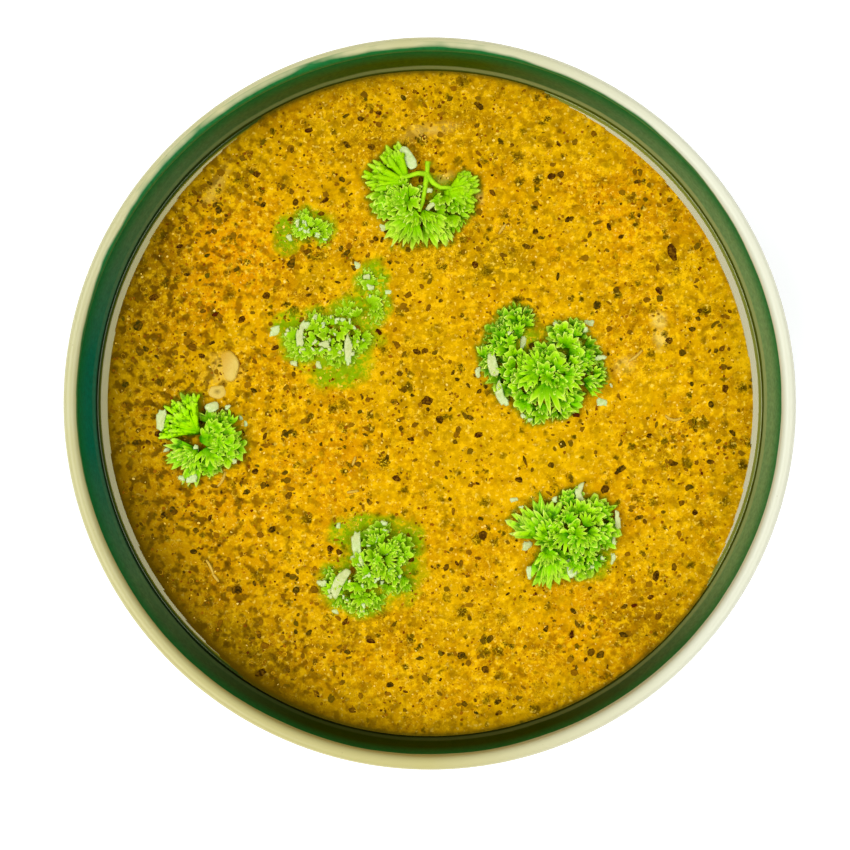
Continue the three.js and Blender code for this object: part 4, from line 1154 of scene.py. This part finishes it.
def solid_flakes():
    """The flakes of the solids: x, y, length, slimness, heading."""
    draw = lcg(FLAKE_SEED)
    zones = [(x, y, length) for x, y, heading, length, bend in SHREDS]
    zones += [(*s["at"], s["half"][0] + CLEARANCE) for s in SLICES]
    for sprig in SPRIGS:
        x, y, half_x, half_y = sprig["core"]
        zones.append((x, y, max(half_x, half_y) + CLEARANCE))
        zones += [(fan[0], fan[1], fan[4] * LEAF_ZONE_SHARE) for fan in sprig["fans"]]
    reach = float(beside_wall(wall_share_at(SOUP_LEVEL))[0]) - MENISCUS_WIDTH - FLAKE_LENGTH[1]
    placed = []
    while len(placed) < FLAKE_COUNT:
        radius = reach * math.sqrt(next(draw))
        turn = FULL_TURN * next(draw)
        x, y = radius * math.cos(turn), radius * math.sin(turn)
        length = FLAKE_LENGTH[0] + (FLAKE_LENGTH[1] - FLAKE_LENGTH[0]) * next(draw)
        slimness = FLAKE_SLIMNESS[0] + (FLAKE_SLIMNESS[1] - FLAKE_SLIMNESS[0]) * next(draw)
        heading = 360 * next(draw)
        crowded = any(math.hypot(p[0] - x, p[1] - y) < FLAKE_SPACING for p in placed)
        blocked = any(math.hypot(z[0] - x, z[1] - y) < z[2] + length for z in zones)
        if not crowded and not blocked:
            placed.append((x, y, length, slimness, heading))
    return placed


def scatter(rng, count, keep=lambda x, y: 1.0):
    """Random places on the soup with its height there, denser where keep is high."""
    places = []
    while len(places) < count:
        radius = (soup_radius - WET_EDGE - 0.5) * math.sqrt(rng.uniform())
        turn = rng.uniform(0, FULL_TURN)
        x, y = radius * math.cos(turn), radius * math.sin(turn)
        if rng.uniform() < keep(x, y):
            places.append((x, y, SOUP_LEVEL + float(meniscus(soup_radius - math.hypot(x, y)))))
    return places


def busy(x, y):
    """How crowded the soup is at a place: more so at the left."""
    share = 0.5 + 0.35 * float(smooth_noise(x, y, 7, 81)) + 0.35 * float(smooth_noise(x, y, 3, 82))
    share += 0.3 * max(-0.6, min(1, (-x - 12) / 40))
    return min(1, max(0.08, share))


def sprinkle(piece, places, lengths, slimness, thick, sides, **values):
    """Adds a chip at each place. lengths: the least, the range and how rare long ones are."""
    least, span, rarity = lengths
    for place in places:
        length = least + span * rng.uniform() ** rarity
        share, heading = rng.uniform(*slimness), rng.uniform(0, 360)
        points, faces = chip(rng, *place, length, share, heading, thick, sides)
        piece.add(points, faces, **{name: rng.uniform(*limits) for name, limits in values.items()})


rng = np.random.default_rng(7)
herbs = Piece()
for x, y, length, slimness, heading in solid_flakes() + PLACED_FLAKES:
    points, faces = chip(rng, x, y, SOUP_LEVEL, length, slimness, heading, FLAKE_PROUD * 0.9, sides=9)
    herbs.add(points, faces, tone=rng.uniform(0, 0.6), sunk=rng.uniform(0, 0.1))
places = scatter(rng, HERB_COUNT, busy)
sprinkle(herbs, places, (0.7, 1.6, 2.2), (0.4, 0.95), 0.12, 7, tone=(0.1, 1), sunk=(0, 0.6))
herbs.make("herb_flakes", herb_material(), "soup", crease=40)

spice = Piece()
for x, y, length, slimness, heading in PLACED_SEEDS:
    points, faces = chip(rng, x, y, SOUP_LEVEL, length, slimness, heading, 0.45, sides=9)
    spice.add(points, faces, tone=0.1, sunk=0)
places = scatter(rng, SPICE_COUNT, busy)
sprinkle(spice, places, (0.3, 0.8, 2), (0.5, 1), 0.1, 5, tone=(0, 1), sunk=(0, 0.5))
spice.make("spice_specks", spice_material(), "soup", crease=40)

grains = Piece()
sprinkle(grains, scatter(rng, GRAIN_COUNT), (0.3, 0.6, 2), (0.4, 1), 0.14, 5, tone=(0, 1))
grains.make("pale_grains", grain_material(), "soup", crease=40)


def ring_bubble(rng, x, y, z, radius, tube, around=14, across=5):
    """The uneven bright rim of a bubble."""
    turn, roll = circle(around)[:, None], circle(across)[None, :]
    tube = tube * (0.65 + 0.45 * np.sin(turn + rng.uniform(0, 6.3)))
    far = radius * (1 + rng.uniform(0, 0.2) * np.sin(2 * turn + rng.uniform(0, 6.3))) + tube * np.cos(roll)
    points = columns(x + far * np.cos(turn), y + far * np.sin(turn), z + tube * np.sin(roll))
    wrapped = np.pad(np.arange(around * across).reshape(around, across), (0, 1), mode="wrap")
    return points.reshape(-1, 3), [grid_quads(wrapped)]


bubbles = Piece()
for x, y, z in scatter(rng, BUBBLE_COUNT):
    radius = 0.24 + 0.44 * rng.uniform() ** 2.5
    points, faces = ring_bubble(rng, x, y, z, radius, rng.uniform(0.07, 0.13))
    bubbles.add(points, faces, tone=rng.uniform(0, 1), shade=min(1, max(0, (-x - 30) / 45)))
bubbles.make("foam_rings", bubble_material(), "soup")


# Garlic.
def garlic_slice(spec, ring_count=40):
    """A slice with rounded edges, one of them cut straight: its points and faces."""
    half_length, half_width = spec["half"]
    turn = circle(ring_count)
    wobble = 1 + 0.04 * np.sin(3 * turn + 1) + 0.03 * np.sin(5 * turn)
    along = half_length * np.cos(turn) * wobble
    across = np.maximum(half_width * np.sin(turn) * wobble, -half_width * spec["flat"])
    rows = []
    for share, level in [(0.0, -0.6), (0.8, -0.6), (0.97, -0.5), (1.0, -0.2), (1.0, 0.3),
                         (0.95, 0.52), (0.84, 0.6), (0.5, 0.62), (0.0, 0.58)]:
        z = SLICE_PROUD - SLICE_THICKNESS / 2 + level * SLICE_THICKNESS / 1.2
        aside, high = spun(across * share, z, spec["tilt"])
        x, y = spun(along * share, aside, spec["heading"])
        rows.append(columns(spec["at"][0] + x, spec["at"][1] + y, SOUP_LEVEL + high))
    return ringed(rows[0][0], rows[1:-1], rows[-1][0])


garlic = garlic_material()
for spec in SLICES:
    piece = Piece()
    points, faces = garlic_slice(spec)
    off_x, off_y = points[:, 0] - spec["at"][0], points[:, 1] - spec["at"][1]
    low = np.clip((SOUP_LEVEL + 0.35 - points[:, 2]) / 0.5, 0, 1)
    pit = np.clip(1.2 - np.hypot(off_x, off_y) / 0.6, 0, 0.8)
    if spec["tilt"]:
        low = np.clip(np.maximum(low, 0.55 - (off_x * 0.9 - off_y * 0.4) / 3), 0, 1)
        pit = 0
    piece.add(points, faces, sunk=low * 0.9, pit=pit)
    piece.make(spec["name"] + "_flesh", garlic, "garlic", crease=50, replaces=[spec["name"]])

strips = Piece()
for x, y, heading, length, bend in SHREDS:
    turns = np.radians(heading + bend * (np.linspace(0, 1, 9) - 0.5))
    steps = columns(np.cos(turns), np.sin(turns), 0) * length / 9
    radii = SHRED_RADIUS * np.sin(np.linspace(0.35, np.pi - 0.35, 9)) ** 0.5
    strips.add(*stalk(np.cumsum(steps, axis=0) + [x, y, SOUP_LEVEL + 0.08], radii), sunk=0.45, pit=0)
strips.make("garlic_shreds", garlic, "soup")


# Froth, partly painted highlights beside the leaves.
def froth_blob(rng, x, y, top, half_x, half_y, heading, sides=18):
    """A thin cap of froth with a rough, blunt outline, arched if it is long."""
    turn = circle(sides)
    rough = 0.3 if min(half_x, half_y) > 1.1 else 1.0
    waves = 0.2 * np.sin(2 * turn + rng.uniform(0, 6)) + 0.14 * np.sin(3 * turn + rng.uniform(0, 6))
    jag = 1 + rough * (waves + 0.12 * np.sin(7 * turn))
    arch = rng.uniform(-0.8, 0.8) if half_y > 1.6 * half_x else 0.0
    blunt_x, blunt_y = (np.sign(v) * np.abs(v) ** 0.7 for v in (np.cos(turn), np.sin(turn)))
    low = max(SOUP_LEVEL - 0.1, top - FROTH_DEPTH)
    rows = []
    for share, level in [(1.0, low), (1.0, top - 0.24), (0.9, top - 0.12), (0.6, top - 0.03)]:
        across = half_x * (share * jag * blunt_x + arch * (share * blunt_y) ** 2)
        step_x, step_y = spun(across, half_y * share * jag * blunt_y, heading)
        rows.append(columns(x + step_x, y + step_y, level))
    return ringed((x, y, low), rows, (x, y, top))


froth = Piece()
low_leaves = sunken_leaves[sunken_leaves[:, 2] > SOUP_LEVEL + FLECK_LEAST_RISE]
flecks = [(*low_leaves[i, :2], rng.uniform(0.22, 0.6), rng.uniform(0.22, 0.4), rng.uniform(0, 180))
          for i in rng.integers(0, len(low_leaves), FLECK_COUNT)]
for x, y, half_x, half_y, heading in FROTH_AND_HIGHLIGHTS + flecks:
    half_x, half_y = FROTH_SIZE * half_x, FROTH_SIZE * half_y
    along, across = spun(leaf_points[:, 0] - x, leaf_points[:, 1] - y, -heading)
    near = np.hypot(along / half_x, across / half_y) < 0.9
    top = max([FROTH_LOWEST, *(leaf_points[near, 2] + FROTH_COVER)])
    froth.add(*froth_blob(rng, x, y, min(top, FROTH_HIGHEST), half_x, half_y, heading))
froth.make("pale_froth_and_highlights", froth_and_highlight_material(), "soup")


# Floor, lights and camera.
corners = [(-1, -1), (1, -1), (1, 1), (-1, 1)]
floor_mesh = bpy.data.meshes.new("floor")
floor_mesh.from_pydata([(x * STAGE_HALF, y * STAGE_HALF, 0) for x, y in corners], [], [(0, 1, 2, 3)])
glow = {"Emission Color": (1, 1, 1, 1), "Emission Strength": 0.5}
floor_mesh.materials.append(Paint("pale_floor").shade((0.9, 0.9, 0.9, 1), 0.8, 0.0, glow))
floor = bpy.data.objects.new("floor", floor_mesh)
bpy.context.scene.collection.objects.link(floor)


def add_light(name, azimuth, elevation, distance, size, radiance, glossy=True):
    """An oval light that shines at the bowl. Sizes and distance are in metres."""
    light = bpy.data.lights.new(name, "AREA")
    light.shape = "ELLIPSE"
    light.size, light.size_y = size
    light.energy = radiance * math.pi * math.pi / 4 * size[0] * size[1]
    made = bpy.data.objects.new(name, light)
    level, up = spun(1, 0, elevation)
    toward = Vector((*spun(level, 0, azimuth), up))
    made.location = toward * distance
    made.rotation_euler = toward.to_track_quat("Z", "Y").to_euler()
    made.visible_glossy = glossy
    bpy.context.scene.collection.objects.link(made)


add_light("left_window", 198, 58, 3.0, (3.7, 1.95), 4.0)
add_light("right_window", -2, 58, 3.0, (3.7, 1.95), 2.2)
add_light("soft_top", 0, 90, 3.0, (6, 6), 0.5, glossy=False)

# The sky is dim overhead, where the soup would mirror it.
world = bpy.data.worlds.new("studio")
bpy.context.scene.world = world
world.use_nodes = True
sky = world.node_tree
direction = add_node(sky, "ShaderNodeTexCoord", {}).outputs["Generated"]
upward = add_node(sky, "ShaderNodeSeparateXYZ", {0: direction}).outputs[2]
limits = {"Value": upward, "From Min": 0.7, "From Max": 0.95, "To Min": 0.5, "To Max": 0.04}
fade = add_node(sky, "ShaderNodeMapRange", limits)
sky.links.new(fade.outputs[0], sky.nodes["Background"].inputs["Strength"])

camera_data = bpy.data.cameras.new("camera")
camera_data.sensor_width = SENSOR
camera_data.lens = SENSOR * CAMERA_ABOVE_RIM / FRAME_WIDTH_AT_RIM
camera_data.shift_x, camera_data.shift_y = CAMERA_SHIFT
camera_data.clip_start, camera_data.clip_end = 0.01, 10
camera = bpy.data.objects.new("camera", camera_data)
camera.location = (0, 0, BOWL_HEIGHT * MM + CAMERA_ABOVE_RIM)
bpy.context.scene.collection.objects.link(camera)
bpy.context.scene.camera = camera
bpy.context.scene.view_settings.view_transform = "Standard"
